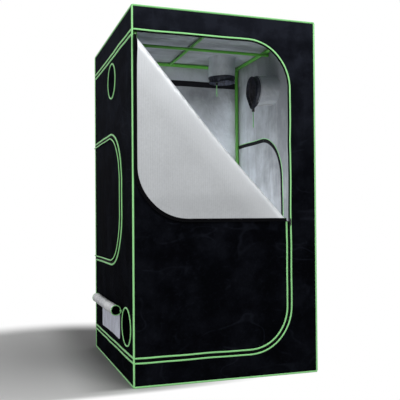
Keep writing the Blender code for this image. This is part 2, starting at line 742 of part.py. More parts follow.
def drawcord(name, top, across, drop):
    """A loop of cord that leaves the cuff as two strands and hangs below the lock."""
    half = STRAND_SPACING / 2
    straight = drop - LOOP_BEND
    steps = round(straight / LOOP_BEND)
    strand_places = [(half, straight * k / steps) for k in range(steps + 1)]
    strand_places.append((LOOP_HALF_WIDTH, straight + LOOP_BEND / 2))
    route = [top + across * side - Z_AXIS * down for side, down in strand_places]
    route.append(top - Z_AXIS * drop)
    route += [top - across * side - Z_AXIS * down for side, down in reversed(strand_places)]
    curve = bpy.data.curves.new(name, "CURVE")
    curve.dimensions = "3D"
    curve.bevel_depth = CORD_R
    curve.bevel_resolution = 2
    curve.use_fill_caps = True
    curve.resolution_u = 1
    spline = curve.splines.new("POLY")
    points = smooth_route(route, CORD_STEP_DIAMETERS * 2 * CORD_R)
    spline.points.add(len(points) - 1)
    for point, place in zip(spline.points, points):
        point.co = (*place, 1.0)
    curve.materials.append(MATERIALS["piping"])
    made = bpy.data.objects.new(name, curve)
    bpy.context.scene.collection.objects.link(made)
    return made


def cord_lock(name, top, across):
    """A barrel with a slot through it for the cord's two strands."""
    side = across.normalized()
    plane = Face(top, side, Z_AXIS.cross(side))
    half = STRAND_SPACING / 2
    bore = CORD_R + LOCK_CLEARANCE
    slot = arc((half, 0.0), bore, -90.0, 90.0, CORNER_STEPS)
    slot += arc((-half, 0.0), bore, 90.0, 270.0, CORNER_STEPS)
    barrel = arc((0.0, 0.0), LOCK_R, 0.0, 360.0 * (1 - 1 / PORT_SIDES), PORT_SIDES - 1)
    slab(name, plane, barrel[::2], [slot], -LOCK_DROP - LOCK_LENGTH, -LOCK_DROP, MATERIALS["plastic"])


def cuff_low_point(face, place, low, axial_drop):
    """Place just under the cuff's lowest point, where the cord comes out."""
    outer = SLEEVE_R + SLEEVE_FABRIC
    middle = SLEEVE_LENGTH - CUFF_LENGTH / 2
    side = Vector((math.cos(math.radians(low)), math.sin(math.radians(low))))
    pleat = PLEAT_DEPTH * math.cos(PLEAT_COUNT * math.radians(low))
    if axial_drop:
        reach = outer - (CUFF_DRAW + SLEEVE_FABRIC) / 2 + GATHER_END_SHARE * pleat
        depth = SLEEVE_LENGTH + GATHER_END_SHARE * TEAR_DROP + SEAT_GAP
    else:
        reach = outer - CUFF_DRAW + pleat + TEAR_DROP + SLEEVE_SAG * middle / SLEEVE_LENGTH + SEAT_GAP
        depth = middle
    return face.at(place[0] + side.x * reach, place[1] + side.y * reach, -depth)


def ports():
    """Three wall ports and one roof port, each with its drawcord and cord lock."""
    down = -90.0
    roof_low = 225.0
    rows = (("left_upper", LEFT, (-LEFT_UPPER_PORT[0], LEFT_UPPER_PORT[1]), down, False, WALL_CORD_DROP),
            ("left_lower", LEFT, (-LEFT_LOWER_PORT[0], LEFT_LOWER_PORT[1]), down, False, LOW_CORD_DROP),
            ("right_upper", RIGHT, RIGHT_UPPER_PORT, down, False, WALL_CORD_DROP),
            ("roof", ROOF, ROOF_PORT, roof_low, True, ROOF_CORD_DROP))
    for name, face, place, low, axial_drop, drop in rows:
        port("port_" + name, face, place, low, axial_drop)
        top = cuff_low_point(face, place, low, axial_drop)
        across = Y_AXIS if not axial_drop else (X_AXIS - Y_AXIS).normalized()
        drawcord("drawcord_" + name, top, across, drop)
        cord_lock("cord_lock_" + name, top, across)


# Low vent

def vent():
    """Mesh panel in the left wall, and the cover flap rolled up over it in a spiral."""
    outline = rounded_rectangle(-VENT_REAR_Y + SEAT_GAP, VENT_BOTTOM + SEAT_GAP, -VENT_FRONT_Y - SEAT_GAP,
                                VENT_TOP - SEAT_GAP, VENT_CORNER_R, CORNER_STEPS)
    slab("vent_mesh", LEFT, outline, [], -HALF_FABRIC, HALF_FABRIC, MATERIALS["mesh"])

    # Section seen along +Y: u is the distance out from the wall, v the height
    wall = HALF_FABRIC + SEAT_GAP
    centre = (wall + HALF_FABRIC + ROLL_R, ROLL_HEM_Z - ROLL_R)
    line = [(wall + HALF_FABRIC, ROLL_HEM_Z + ROLL_PITCH)]
    for k in range(ROLL_STEPS + 1):
        share = k / ROLL_STEPS
        turned = 2 * math.pi * ROLL_TURNS * share
        radius = ROLL_R - ROLL_PITCH * ROLL_TURNS * share
        angle = math.pi + turned
        line.append((centre[0] + radius * math.cos(angle), centre[1] + radius * math.sin(angle)))
    normals = path_normals(line)
    one = [(u + nu * HALF_FABRIC, v + nv * HALF_FABRIC) for (u, v), (nu, nv) in zip(line, normals)]
    other = [(u - nu * HALF_FABRIC, v - nv * HALF_FABRIC) for (u, v), (nu, nv) in zip(line, normals)]
    plane = Face((-SEAM_X, 0.0, 0.0), -X_AXIS, Z_AXIS)
    slab("vent_flap", plane, one + other[::-1], [], ROLL_FRONT_Y, ROLL_REAR_Y, MATERIALS["lining"])


# Floor tray

def floor_tray():
    """A shallow tray with a turned-out rim, inside the bottom bars."""
    half_x = FRAME_X - SOCKET_R - TRAY_GAP - TRAY_RIM
    half_y = FRAME_Y - SOCKET_R - TRAY_GAP - TRAY_RIM
    low = FABRIC + SEAT_GAP
    high = low + TRAY_HEIGHT
    rows = ((0.0, low), (0.0, high - TRAY_WALL), (TRAY_RIM, high - TRAY_WALL), (TRAY_RIM, high),
            (-TRAY_WALL, high), (-TRAY_WALL, low + TRAY_WALL))
    rings = []
    for grow, z in rows:
        outline = rounded_rectangle(-half_x - grow, -half_y - grow, half_x + grow, half_y + grow,
                                    TRAY_CORNER_R + grow, CORNER_STEPS)
        rings.append([Vector((u, v, z)) for u, v in outline])
    loft("floor_tray", rings, False, MATERIALS["tray"])


# Zip sliders

def slider(name, face, u, v, along_v):
    """A slider body with a raised bridge, lying on the tape beside the zip line."""
    low = HALF_FABRIC + SEAT_GAP
    half_u = (SLIDER_WIDTH if along_v else SLIDER_LENGTH) / 2
    half_v = (SLIDER_LENGTH if along_v else SLIDER_WIDTH) / 2
    base = rounded_rectangle(u - half_u, v - half_v, u + half_u, v + half_v, SLIDER_BEVEL, CORNER_STEPS)
    body = slab(name, face, base, [], low, low + SLIDER_HEIGHT, MATERIALS["plastic"])
    bridge_half = SLIDER_BRIDGE / 2
    if along_v:
        outline = [(u - bridge_half, v - half_v / 2), (u + bridge_half, v - half_v / 2),
                   (u + bridge_half, v + half_v / 2), (u - bridge_half, v + half_v / 2)]
    else:
        outline = [(u - half_u / 2, v - bridge_half), (u + half_u / 2, v - bridge_half),
                   (u + half_u / 2, v + bridge_half), (u - half_u / 2, v + bridge_half)]
    top = slab("bridge", face, outline, [], low + SLIDER_HEIGHT / 2, low + SLIDER_HEIGHT + SLIDER_BRIDGE,
               MATERIALS["plastic"])
    return combine(body, [top], "UNION")


def sliders():
    """One slider on each zip, parked on the fixed side of the zip line."""
    offset = ZIP_GAP / 2 + SEAT_GAP + SLIDER_WIDTH / 2
    slider("zip_slider_front", FRONT, DOOR_FREE_X + offset, FRONT_SLIDER_Z, True)
    for name, opening in (("rear", REAR_DOOR), ("left", LEFT_WINDOW), ("right", RIGHT_WINDOW)):
        u = opening.hinge_u + opening.sign * SLIDER_PARK
        slider("zip_slider_" + name, opening.face, u, opening.bottom - offset, False)


def zip_tab():
    """Pull tab of the front slider: a plate hanging from the bridge by its eye."""
    offset = ZIP_GAP / 2 + SEAT_GAP + SLIDER_WIDTH / 2
    u = DOOR_FREE_X + offset
    low = HALF_FABRIC + SEAT_GAP + SLIDER_HEIGHT + SLIDER_BRIDGE + SEAT_GAP
    head = FRONT_SLIDER_Z
    half = TAB_WIDTH / 2
    outline = arc((u, head - TAB_LENGTH + half), half, 180.0, 360.0, ARC_STEPS)
    outline += arc((u, head), half, 0.0, 180.0, ARC_STEPS)
    hole = arc((u, head - TAB_LENGTH + half), TAB_EYE_R, 0.0, 360.0 * (1 - 1 / ROD_SIDES), ROD_SIDES - 1)
    slab("zip_tab_front", FRONT, outline, [hole], low, low + TAB_THICKNESS, MATERIALS["plastic"])


def clear_scene():
    """Remove whatever the scene holds."""
    for old in list(bpy.data.objects):
        bpy.data.objects.remove(old)


clear_scene()
MATERIALS = make_materials()
corner_sockets()
frame_tubes()
crossbars()
panels()
closed_panels()
edge_piping()
door_panel()
door_flap()
ports()
vent()
floor_tray()
sliders()
zip_tab()
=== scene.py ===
"""Indoor grow tent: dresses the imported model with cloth, piping, zips, ducts, cords and finishes.

Metres, +Z up, front at -Y. Runs as a script; laid out as an add-on so that its parts can be reused.
"""
import math

import bpy
import numpy as np
from bpy.props import FloatProperty, FloatVectorProperty, IntProperty, PointerProperty
from mathutils import Matrix, Vector, noise
from mathutils.geometry import delaunay_2d_cdt


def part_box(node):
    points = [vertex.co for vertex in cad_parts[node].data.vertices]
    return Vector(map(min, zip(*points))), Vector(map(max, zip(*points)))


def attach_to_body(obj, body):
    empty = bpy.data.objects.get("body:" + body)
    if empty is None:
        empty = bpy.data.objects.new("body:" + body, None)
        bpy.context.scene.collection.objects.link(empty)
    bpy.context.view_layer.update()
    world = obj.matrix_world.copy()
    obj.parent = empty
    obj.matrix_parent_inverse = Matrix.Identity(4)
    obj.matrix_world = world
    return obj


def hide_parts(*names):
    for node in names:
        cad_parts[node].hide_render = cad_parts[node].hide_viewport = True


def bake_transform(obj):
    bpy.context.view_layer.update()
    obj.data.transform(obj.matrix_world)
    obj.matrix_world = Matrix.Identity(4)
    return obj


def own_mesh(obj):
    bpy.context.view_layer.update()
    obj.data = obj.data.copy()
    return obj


bl_info = {
    "name": "Grow Tent Dressing",
    "version": (1, 0, 0),
    "blender": (4, 5, 0),
    "location": "3D View > Sidebar > Grow Tent",
    "description": "Cloth, piping, zips, duct ports and finishes of an indoor grow tent",
    "category": "Object",
}

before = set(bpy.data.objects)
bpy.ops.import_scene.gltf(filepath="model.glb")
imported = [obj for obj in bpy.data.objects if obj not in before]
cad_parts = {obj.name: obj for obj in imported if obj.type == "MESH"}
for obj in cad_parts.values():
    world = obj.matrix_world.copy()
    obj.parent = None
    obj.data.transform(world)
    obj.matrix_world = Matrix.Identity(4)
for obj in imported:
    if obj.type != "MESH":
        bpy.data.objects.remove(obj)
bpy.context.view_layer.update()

# Sizes shared with the part's source
WIDTH = 1.08
HEIGHT = 2.00
PIPING_R = 0.004
SEAT_GAP = 0.0003
HALF_FABRIC = 0.00075
ZIP_GAP = 0.0006
BEAD_OFFSET = 0.013
BEAD_END_GAP = 0.001
SEAM = WIDTH / 2 - PIPING_R
SEAM_TOP = HEIGHT - PIPING_R
PANEL_MARGIN = PIPING_R + SEAT_GAP
PANEL_SIDE = SEAM - PANEL_MARGIN
PANEL_LOW = PIPING_R + PANEL_MARGIN
PANEL_HIGH = SEAM_TOP - PANEL_MARGIN
DOOR_FREE = 0.366
DOOR_TOP = 1.857
DOOR_BOTTOM = 0.141
DOOR_CORNER_R = 0.245
WINDOW_BOTTOM = 0.615
LEFT_WINDOW_TOP = 1.378
LEFT_WINDOW_CORNER_R = 0.30
LEFT_WINDOW_FREE = 0.265
RIGHT_WINDOW_TOP = 1.402
RIGHT_WINDOW_CORNER_R = 0.27
RIGHT_WINDOW_FREE = -0.135
FLAP_STANDOFF = 0.009
LEFT_UPPER_PORT = (0.016, 1.710)
LEFT_LOWER_PORT = (0.374, 0.291)
RIGHT_UPPER_PORT = (-0.040, 1.710)
ROOF_PORT = (0.310, 0.300)
PORT_RING_R = 0.103
SLEEVE_R = 0.0905
SLEEVE_FABRIC = 0.0015
SLEEVE_LENGTH = 0.165
CUFF_LENGTH = 0.032
CUFF_DRAW = 0.006
PLEAT_DEPTH = 0.0025
PLEAT_COUNT = 8
GATHER_START_SHARE = 0.25
GATHER_END_SHARE = 0.8
SLEEVE_SAG = 0.008
TEAR_DROP = 0.026
CORD_R = 0.0015
STRAND_SPACING = 0.0046
LOOP_HALF_WIDTH = 0.006
LOOP_BEND = 0.018
CORD_STEP_DIAMETERS = 3
VENT_FRONT = -0.210
VENT_REAR = 0.310
VENT_BOTTOM = 0.190
VENT_TOP = 0.345
VENT_CORNER_R = 0.02
ROLL_FRONT = -0.255
ROLL_REAR = 0.330
ROLL_R = 0.031
ROLL_PITCH = 0.0055
ROLL_TURNS = 2.25
ROLL_HEM = 0.398

# Slack of the sewn cloth
SLACK_EDGE = 0.07
SLACK_INWARD = 0.0022
SEAM_WANDER = 0.0032
WANDER_SCALE = 5.0
BROAD_SCALE = (2.3, 1.5)
DRAPE_SCALE = (7.0, 2.6)
DRAPE_SHARE = 0.42
FINE_SCALE = (17.0, 13.0)
FINE_SHARE = 0.16
RING_REACH = PORT_RING_R + 0.008
LEAST_AREA_SHARE = 0.3

# Steps of curves and meshes
D_STEPS = 20
SWEEP_STEP = 0.03
BEAD_STEPS = 6
HOLE_STEPS = 48
RING_STEPS = 64
EDGE_CORNER_STEPS = 5
VENT_CORNER_STEPS = 6
TRAY_CORNER_STEPS = 8
SHARP_DEG = 38.0
EDGE_CLEARANCE = 0.45
MERGE_DISTANCE = 1e-7

# Trim: beads, zips, tapes and the raised welts of the windows
BEAD_R = 0.0049
SIDE_BEAD_SHARE = 1.2
TAPE_THICK = 0.0006
TAPE_MEET = 0.00005
WINDOW_TAPE_SHARE = 0.6
INNER_CORD_R = 0.002
WELT_HALF = 0.0012
WELT_HEIGHT = 0.0085
WELT_LAP = 0.0005
WELT_CORD_R = 0.0038
EDGE_TURN_R = 0.006
EDGE_PIPING_R = 0.0050
EDGE_PIPING_SIDES = 12
EDGE_PIPING_STEP = 0.05
EDGE_PIPING_ROWS = 30
EDGE_PIPING_LIFT = 0.0002
# The inner_tape slot takes a paler copy of the tape, painted light.
TRIM_FINISHES = ["piping", "tape", "coil", "inner_tape"]
CLOTH_FINISHES = ["canvas", "lining"]

# Where the front door's fold lies when it hangs open, and how much longer the hanging cloth is
FOLD_FOOT_HANGING = 0.862
FOLD_HEAD_DROP = 0.012
FOLD_FOOT_INSET = 0.017
FOLD_HEAD = Vector((-PANEL_SIDE, DOOR_TOP - FOLD_HEAD_DROP))
FOLD_FOOT = Vector((DOOR_FREE - FOLD_FOOT_INSET, FOLD_FOOT_HANGING))
FOLD_ALONG = (FOLD_FOOT - FOLD_HEAD).normalized()
FOLD_UP = Vector((-FOLD_ALONG.y, FOLD_ALONG.x))
FOLD_LENGTH = (FOLD_FOOT - FOLD_HEAD).length
FOLD_LIP = 0.0015
FOLD_SAG = 0.017
FOLD_SAG_SKEW = 1.15
FOLD_STEPS = 44
FOLD_MIDDLE_DROP = 0.012
FOLD_MIDDLE_LEVEL = FOLD_HEAD.dot(FOLD_UP) - FOLD_MIDDLE_DROP

# The hanging flap
FLAP_HINGE_GAP = 0.0015
FLAP_LEFT = -PANEL_SIDE + FLAP_HINGE_GAP
FLAP_CORNER = 0.295
FLAP_TAPE = 0.016
FLAP_TAPE_OUTSIDE = 0.0022
FLAP_GRID = 0.014
FLAP_BELLY = 0.017
FLAP_HELD_EDGE = 0.16
FLAP_HELD_FOLD = 0.10
FLAP_WAVE_AT = (3.4, 4.2, 2.4)
FLAP_WAVE_SHARE = 0.5
FLAP_FINE_AT = (11.0, 9.4, 8.0)
FLAP_FINE_SHARE = 0.12
FLAP_FULL_SHARE = 0.8
FOLD_ROLL_WIDTH = 0.024
FOLD_ROLL_HEIGHT = 0.016
STRIP_COLUMNS = 4
STRIP_PITCH = 0.004

# The strip of cloth that is the bend itself, in the fold's line
BEND_HEAD = 0.044
BEND_FOOT = 0.004
BEND_LAP = 0.0006
BEND_TURNED_END = 0.898 * FOLD_LENGTH
BEND_TURNED_CREEP = 0.04

# Duct ports
DOWN_DEG = -90.0
ROOF_LOW_DEG = 225.0
PORT_SIDES = 88
PLEATS_FAR_SIDE = 0.3
PLEATS_UNEVEN = 0.6
MOUTH_NARROWING = 0.2
MOUTH_PINCH = 0.32
MOUTH_OVERHANG = 0.009
ROOF_SLACK = 0.010
COLLAR_INSET = 0.0085
COLLAR_HALF = 0.0045
SLEEVE_ROWS = 9
SLEEVE_LAP = 0.002
SLEEVE_BULGE = 0.0022
SLEEVE_WAVES = 2.4
CUFF_LAP = 0.004
CUFF_SHARP_DEG = 60.0
CUFF_ROWS = ((-CUFF_LAP / CUFF_LENGTH, 0.0018, GATHER_START_SHARE), (0.18, -0.0005, 0.6),
             (0.38, -0.8 * CUFF_DRAW, 1.0), (0.5, -CUFF_DRAW, 1.0), (0.62, -0.85 * CUFF_DRAW, 1.0),
             (0.85, -0.4 * CUFF_DRAW, 0.9), (1.0, -0.55 * CUFF_DRAW, 0.8))
SEAM_LOW = 0.0012
SEAM_HIGH = 0.0042
SEAM_TURN_DEG = 4.0
SEAM_PITCH = 0.01
SEAM_ROUND = 0.006
WALL_STRAND_SPREAD = 1.2

# Vent and its rolled flap
VENT_BOW = 0.004
ROLL_STEPS = 72
ROLL_STATIONS = 26
ROLL_WRINKLE = 0.0022
ROLL_WRINKLE_ALONG = 26.0
ROLL_WRINKLE_ACROSS = 34.0
ROLL_HELD_STEPS = 8
ROLL_SAG = 0.004
ROLL_SAG_STEPS = 12
BINDING_R = 0.0024
BINDING_SIDES = 8
BINDING_POINTS = 36

# Floor tray: how its foot grows outward and rises, from the flat bottom up
TRAY_FOOT = ((-0.010, 0.0), (-0.003, 0.003), (0.0, 0.012), (0.0, 0.03), (0.0, 0.055))
TRAY_RIM = 0.003
TRAY_RIM_ROUND = 0.0006
TRAY_WALL = 0.0015
TRAY_CORNER_R = 0.03
TRAY_SLACK = 0.0014
TRAY_SLACK_SCALE = 12.0
TRAY_SLACK_SEED = 1.5
TRAY_HELD_EDGE = 0.02
TRAY_RIM_FREE = 0.3
TRAY_ROW_PITCH = 0.01
TRAY_CUT_CORNER = 0.08

# Finishes: thread and tooth distances
CANVAS_THREAD = 0.0026
LINING_THREAD = 0.008
CUFF_THREAD = 0.002
TRAY_THREAD = 0.003
FLAP_CELL_WIDTH = 0.012
FLAP_CELL_HEIGHT = 0.009
BRAID_PITCH = 0.0042
BRAID_TURN = 420.0
TOOTH_PITCH = 0.0016
STITCH_PITCH = 0.006
MESH_PITCH = 0.0022

# Finishes: painted light on the canvas, the cuff's paler cloth, and the painted light and shade of the lining
# and of the door's flap by place
HEADER_GLOW = 0.35
CREASE_HIGHLIGHT_FROM = 0.95
CREASE_HIGHLIGHT_SHARE = 0.32
PAINTED_LIGHT_FROM = 0.75
PAINTED_LIGHT_SHARE = 0.38
CUFF_PALER = 5.0
# Painted light and shade of the lining by place
RIGHT_SIDE_FROM = 0.25
NEAR_TO_FAR = (-0.1, 0.5)
FAR_CORNER_PALE = 0.75
NEAR_SIDE_DARK = 0.32
UNDER_ROOF_DARK = 0.42
UNDER_ROOF_FROM = (1.56, 1.78)
UNDER_ROOF_END = (1.845, 1.86)
UNDER_ROOF_DEEP = 0.45
UNDER_ROOF_ASIDE = (-0.35, 0.05)
RIGHT_TOP_DARK = 0.55
RIGHT_TOP_FROM = (1.68, 1.86)
RIGHT_TOP_END = (1.975, 1.99)
# Painted highlight along the door's fold, and painted light paling the flap's film near the fold
FOLD_BAND = 0.030
FOLD_BAND_SOFT = 0.6
FOLD_GLOW = 0.17
FOLD_PALE_SHARE = 0.8

# Camera, fitted to the photograph
CAMERA_PLACE = (-1.275, -3.545, 0.879)
CAMERA_YAW_DEG = 17.08
CAMERA_PITCH_DEG = 0.757
CAMERA_ROLL_DEG = -0.371
CAMERA_REACH = 60.0
FOCAL_PX = 595.6
IMAGE_PX = 400
CENTRE_X_PX = 167.26
CENTRE_Y_PX = 210.69
SENSOR_MM = 36.0

# Lamps: name, setting, place, target, size and spread in degrees
LAMPS = (("key_lamp", "key", (0.15, -2.45, 3.25), (0.0, -0.5, 1.3), 1.8, 180.0),
         ("fill_lamp", "fill", (-3.5, -2.2, 1.7), (-0.3, 0.0, 0.9), 2.6, 180.0),
         ("inner_lamp", "inner", (-0.26, -0.28, 0.98), (0.40, 0.54, 0.92), 0.6, 165.0))

# Floor of the stage, its shadow and the painted shadow in its colour
FLOOR_REACH = 9.0
FLOOR_LEVEL = -0.0008
SHADOW_CENTRE = (-0.8, 0.3, 0.0)
SHADOW_KEPT = 0.85
SHADOW_GONE = 1.35
FRONT_KEPT = 0.57
FRONT_GONE = 0.67
# Painted shadow in the floor's colour: its depth round SHADOW_CENTRE and along the tent's left foot.
SHADE_KEPT = 0.6
FOOT_SHADE = 0.72
FOOT_SHADE_LEFT = -0.88
FOOT_SHADE_FRONT = 0.50
FOOT_SHADE_DEPTH = 0.1

WHITE = (1.0, 1.0, 1.0, 1.0)
X_AXIS = Vector((1.0, 0.0, 0.0))
Y_AXIS = Vector((0.0, 1.0, 0.0))
Z_AXIS = Vector((0.0, 0.0, 1.0))


# Settings that a user would change

def color_setting(name, text, default):
    """A colour."""
    return FloatVectorProperty(name=name, description=text, subtype="COLOR", default=default, min=0, max=1)


def length_setting(name, text, default, low, high):
    """A length in metres."""
    return FloatProperty(name=name, description=text, subtype="DISTANCE", unit="LENGTH", default=default,
                         min=low, max=high)


def power_setting(name, text, default):
    """A lamp's power in watts."""
    return FloatProperty(name=name, description=text, subtype="POWER", default=default, min=0)


class TentCover(bpy.types.PropertyGroup):
    """Cloth of the cover."""

    canvas: color_setting("Canvas", "Outside cloth", (0.0018, 0.0020, 0.0030))
    # Pale tone of the canvas, used for its wear and for its painted light.
    canvas_wear_and_light: color_setting("Canvas highlights", "Rubbed places of the cloth", (0.0140, 0.0160, 0.0232))
    lining: color_setting("Lining", "Reflective film inside", (0.485, 0.515, 0.555))
    flap_lining: color_setting("Door lining", "Film on the folded door", (0.545, 0.565, 0.585))
    slack: length_setting("Slack", "How far the cloth swells between its seams", 0.0045, 0, 0.01)
    mesh_spacing: length_setting("Cloth grid", "Distance between the cloth's points", 0.03, 0.01, 0.1)


class TentTrim(bpy.types.PropertyGroup):
    """Piping and zips."""

    piping: color_setting("Piping", "Piping and cords", (0.37, 0.90, 0.34))
    tape: color_setting("Zip tape", "Tape of the zips", (0.0035, 0.0035, 0.0042))
    tape_width: length_setting("Tape width", "Inner tape, from the zip line to its edge", 0.021, 0.01, 0.03)
    coil_radius: length_setting("Coil radius", "Half the zip coil's width", 0.0013, 0.0005, 0.003)


class TentHardware(bpy.types.PropertyGroup):
    """Frame, duct cuffs and plastic pieces."""

    steel: color_setting("Frame", "Powder coat of the tubes", (0.05, 0.20, 0.022))
    plastic: color_setting("Plastic", "Cord locks and sliders", (0.013, 0.013, 0.014))
    vent_mesh: color_setting("Vent mesh", "Pale mesh of the vent", (0.74, 0.77, 0.90))
    pleats: IntProperty(name="Pleats", description="Gathers round a duct cuff", default=22, min=6, max=60)


class TentStage(bpy.types.PropertyGroup):
    """Floor, lamps and camera."""

    floor: color_setting("Floor", "Pale floor", (0.80, 0.80, 0.80))
    key: power_setting("Key lamp", "Power of the main lamp", 48.0)
    fill: power_setting("Fill lamp", "Power of the second lamp", 32.0)
    inner: power_setting("Inner lamp", "Power of the lamp inside the tent", 9.0)
    ambient: FloatProperty(name="Sky", description="Strength of the even light", default=0.42, min=0)


# Faces and outlines, as in the part's source

def ease(share):
    """Smooth step from 0 to 1."""
    share = min(max(share, 0.0), 1.0)
    return share * share * (3 - 2 * share)


class Face:
    """A plane of the tent's box: u runs right and v up as seen from outside."""

    def __init__(self, name, origin, u_axis, v_axis, seed, holes=()):
        self.name = name
        self.origin = Vector(origin)
        self.u_axis = Vector(u_axis)
        self.v_axis = Vector(v_axis)
        self.normal = self.u_axis.cross(self.v_axis)
        self.seed = seed
        self.holes = holes

    def at(self, u, v, out=0.0):
        """World point of a place on the plane."""
        return self.origin + self.u_axis * u + self.v_axis * v + self.normal * out

    def free(self, u, v):
        """1 where the cloth hangs free, 0 at its seams and round its ports, and 0 all over a flat face."""
        if not self.seed:
            return 0.0
        low, high = (0.0, SEAM_TOP) if self.v_axis.z else (-SEAM, SEAM)
        share = ease(min(SEAM - abs(u), v - low, high - v) / SLACK_EDGE)
        for place in self.holes:
            share *= ease((math.dist((u, v), place) - RING_REACH) / SLACK_EDGE)
        return share

    def cloth(self, u, v, height=0.0):
        """World point of the sewn cloth: its lines wander a little and it swells out of the plane."""
        seed = self.seed
        free = self.free(u, v)
        where = Vector((u * WANDER_SCALE + seed, v * WANDER_SCALE, seed))
        wander_u = SEAM_WANDER * free * noise.noise(where)
        wander_v = SEAM_WANDER * free * noise.noise(where + Z_AXIS * WANDER_SCALE)
        broad = noise.noise(Vector((u * BROAD_SCALE[0] + seed, v * BROAD_SCALE[1], seed)))
        drape = noise.noise(Vector((u * DRAPE_SCALE[0], v * DRAPE_SCALE[1] + seed, seed)))
        fine = noise.noise(Vector((u * FINE_SCALE[0] + seed, v * FINE_SCALE[1], seed)))
        swell = bpy.context.scene.tent_cover.slack * (broad + DRAPE_SHARE * drape + FINE_SHARE * fine)
        return self.at(u + wander_u, v + wander_v, height + free * max(swell, -SLACK_INWARD))


FRONT = Face("front", (0.0, -SEAM, 0.0), X_AXIS, Z_AXIS, 3.1)
REAR = Face("rear", (0.0, SEAM, 0.0), -X_AXIS, Z_AXIS, 7.7)
LEFT = Face("left", (-SEAM, 0.0, 0.0), -Y_AXIS, Z_AXIS, 12.9, (LEFT_UPPER_PORT, LEFT_LOWER_PORT))
RIGHT = Face("right", (SEAM, 0.0, 0.0), Y_AXIS, Z_AXIS, 17.3, (RIGHT_UPPER_PORT,))
ROOF = Face("roof", (0.0, 0.0, SEAM_TOP), X_AXIS, Y_AXIS, 23.5, (ROOF_PORT,))
FLOOR = Face("floor", (0.0, 0.0, HALF_FABRIC), X_AXIS, -Y_AXIS, 0.0)


def arc(centre, radius, start, end, steps):
    """Points of an arc between two angles in degrees."""
    angles = [math.radians(start + (end - start) * k / steps) for k in range(steps + 1)]
    return [(centre[0] + radius * math.cos(a), centre[1] + radius * math.sin(a)) for a in angles]


def circle(centre, radius, steps):
    """A closed circle of points, without a repeated end."""
    return arc(centre, radius, 0.0, 360.0 * (steps - 1) / steps, steps - 1)


def rounded_rectangle(low_u, low_v, high_u, high_v, radius, steps):
    """A rectangle with rounded corners, counter-clockwise."""
    corners = ((high_u - radius, low_v + radius, -90.0), (high_u - radius, high_v - radius, 0.0),
               (low_u + radius, high_v - radius, 90.0), (low_u + radius, low_v + radius, 180.0))
    return [point for u, v, start in corners for point in arc((u, v), radius, start, start + 90.0, steps)]


class Opening:
    """A D-shaped zip line, straight at the hinged seam; sign is the way to its free side."""

    def __init__(self, face, sign, free_u, bottom, top, radius):
        self.face = face
        self.sign = sign
        self.hinge_u = -sign * PANEL_SIDE
        self.free_u = free_u
        self.bottom = bottom
        self.top = top
        self.radius = radius

    def curve(self, grow, end_gap=0.0):
        """The D grown by a distance, from the hinge's foot round to its head."""
        radius = self.radius + grow
        centre_u = self.free_u - self.sign * self.radius
        low = arc((0.0, self.bottom + self.radius), radius, -90.0, 0.0, D_STEPS)
        high = arc((0.0, self.top - self.radius), radius, 0.0, 90.0, D_STEPS)
        hinge = self.hinge_u + self.sign * end_gap
        points = [(centre_u + self.sign * u, v) for u, v in low + high]
        return [(hinge, self.bottom - grow)] + points + [(hinge, self.top + grow)]


FRONT_DOOR = Opening(FRONT, 1.0, DOOR_FREE, DOOR_BOTTOM, DOOR_TOP, DOOR_CORNER_R)
REAR_DOOR = Opening(REAR, 1.0, DOOR_FREE, DOOR_BOTTOM, DOOR_TOP, DOOR_CORNER_R)
LEFT_WINDOW = Opening(LEFT, 1.0, LEFT_WINDOW_FREE, WINDOW_BOTTOM, LEFT_WINDOW_TOP, LEFT_WINDOW_CORNER_R)
RIGHT_WINDOW = Opening(RIGHT, -1.0, RIGHT_WINDOW_FREE, WINDOW_BOTTOM, RIGHT_WINDOW_TOP,
                       RIGHT_WINDOW_CORNER_R)


def surround_outline(opening):
    """A wall's rectangle with the opening cut in from its hinged side."""
    cut = opening.curve(ZIP_GAP / 2)
    low = [(-PANEL_SIDE, PANEL_LOW), (PANEL_SIDE, PANEL_LOW)]
    if opening.sign > 0.0:
        return [(PANEL_SIDE, PANEL_HIGH), (-PANEL_SIDE, PANEL_HIGH)] + cut[::-1] + low
    return low + cut + [(PANEL_SIDE, PANEL_HIGH), (-PANEL_SIDE, PANEL_HIGH)]


def densify(path, spacing, closed=False):
    """More points on the long stretches of a path."""
    ends = path[1:] + path[:1] if closed else path[1:]
    dense = []
    for start, end in zip(path, ends):
        steps = max(1, math.ceil(math.dist(start, end) / spacing))
        dense += [tuple(a + (b - a) * k / steps for a, b in zip(start, end)) for k in range(steps)]
    return dense if closed else dense + [path[-1]]


def travelled(points):
    """Distance along a path to each of its points."""
    lengths = [0.0]
    for start, end in zip(points, points[1:]):
        lengths.append(lengths[-1] + math.dist(start, end))
    return lengths


def path_normals(path, closed=False):
    """Mitred side vectors along a path in a plane."""
    normals = []
    count = len(path)
    for k, here in enumerate(path):
        before = path[k - 1] if closed or k > 0 else here
        after = path[(k + 1) % count] if closed or k < count - 1 else here
        sides = []
        for start, end in ((before, here), (here, after)):
            du, dv = end[0] - start[0], end[1] - start[1]
            length = math.hypot(du, dv)
            if length > 0.0:
                sides.append((dv / length, -du / length))
        u = sum(side[0] for side in sides)
        v = sum(side[1] for side in sides)
        scale = len(sides) / (u * u + v * v)
        normals.append((u * scale, v * scale))
    return normals


# Shader maths

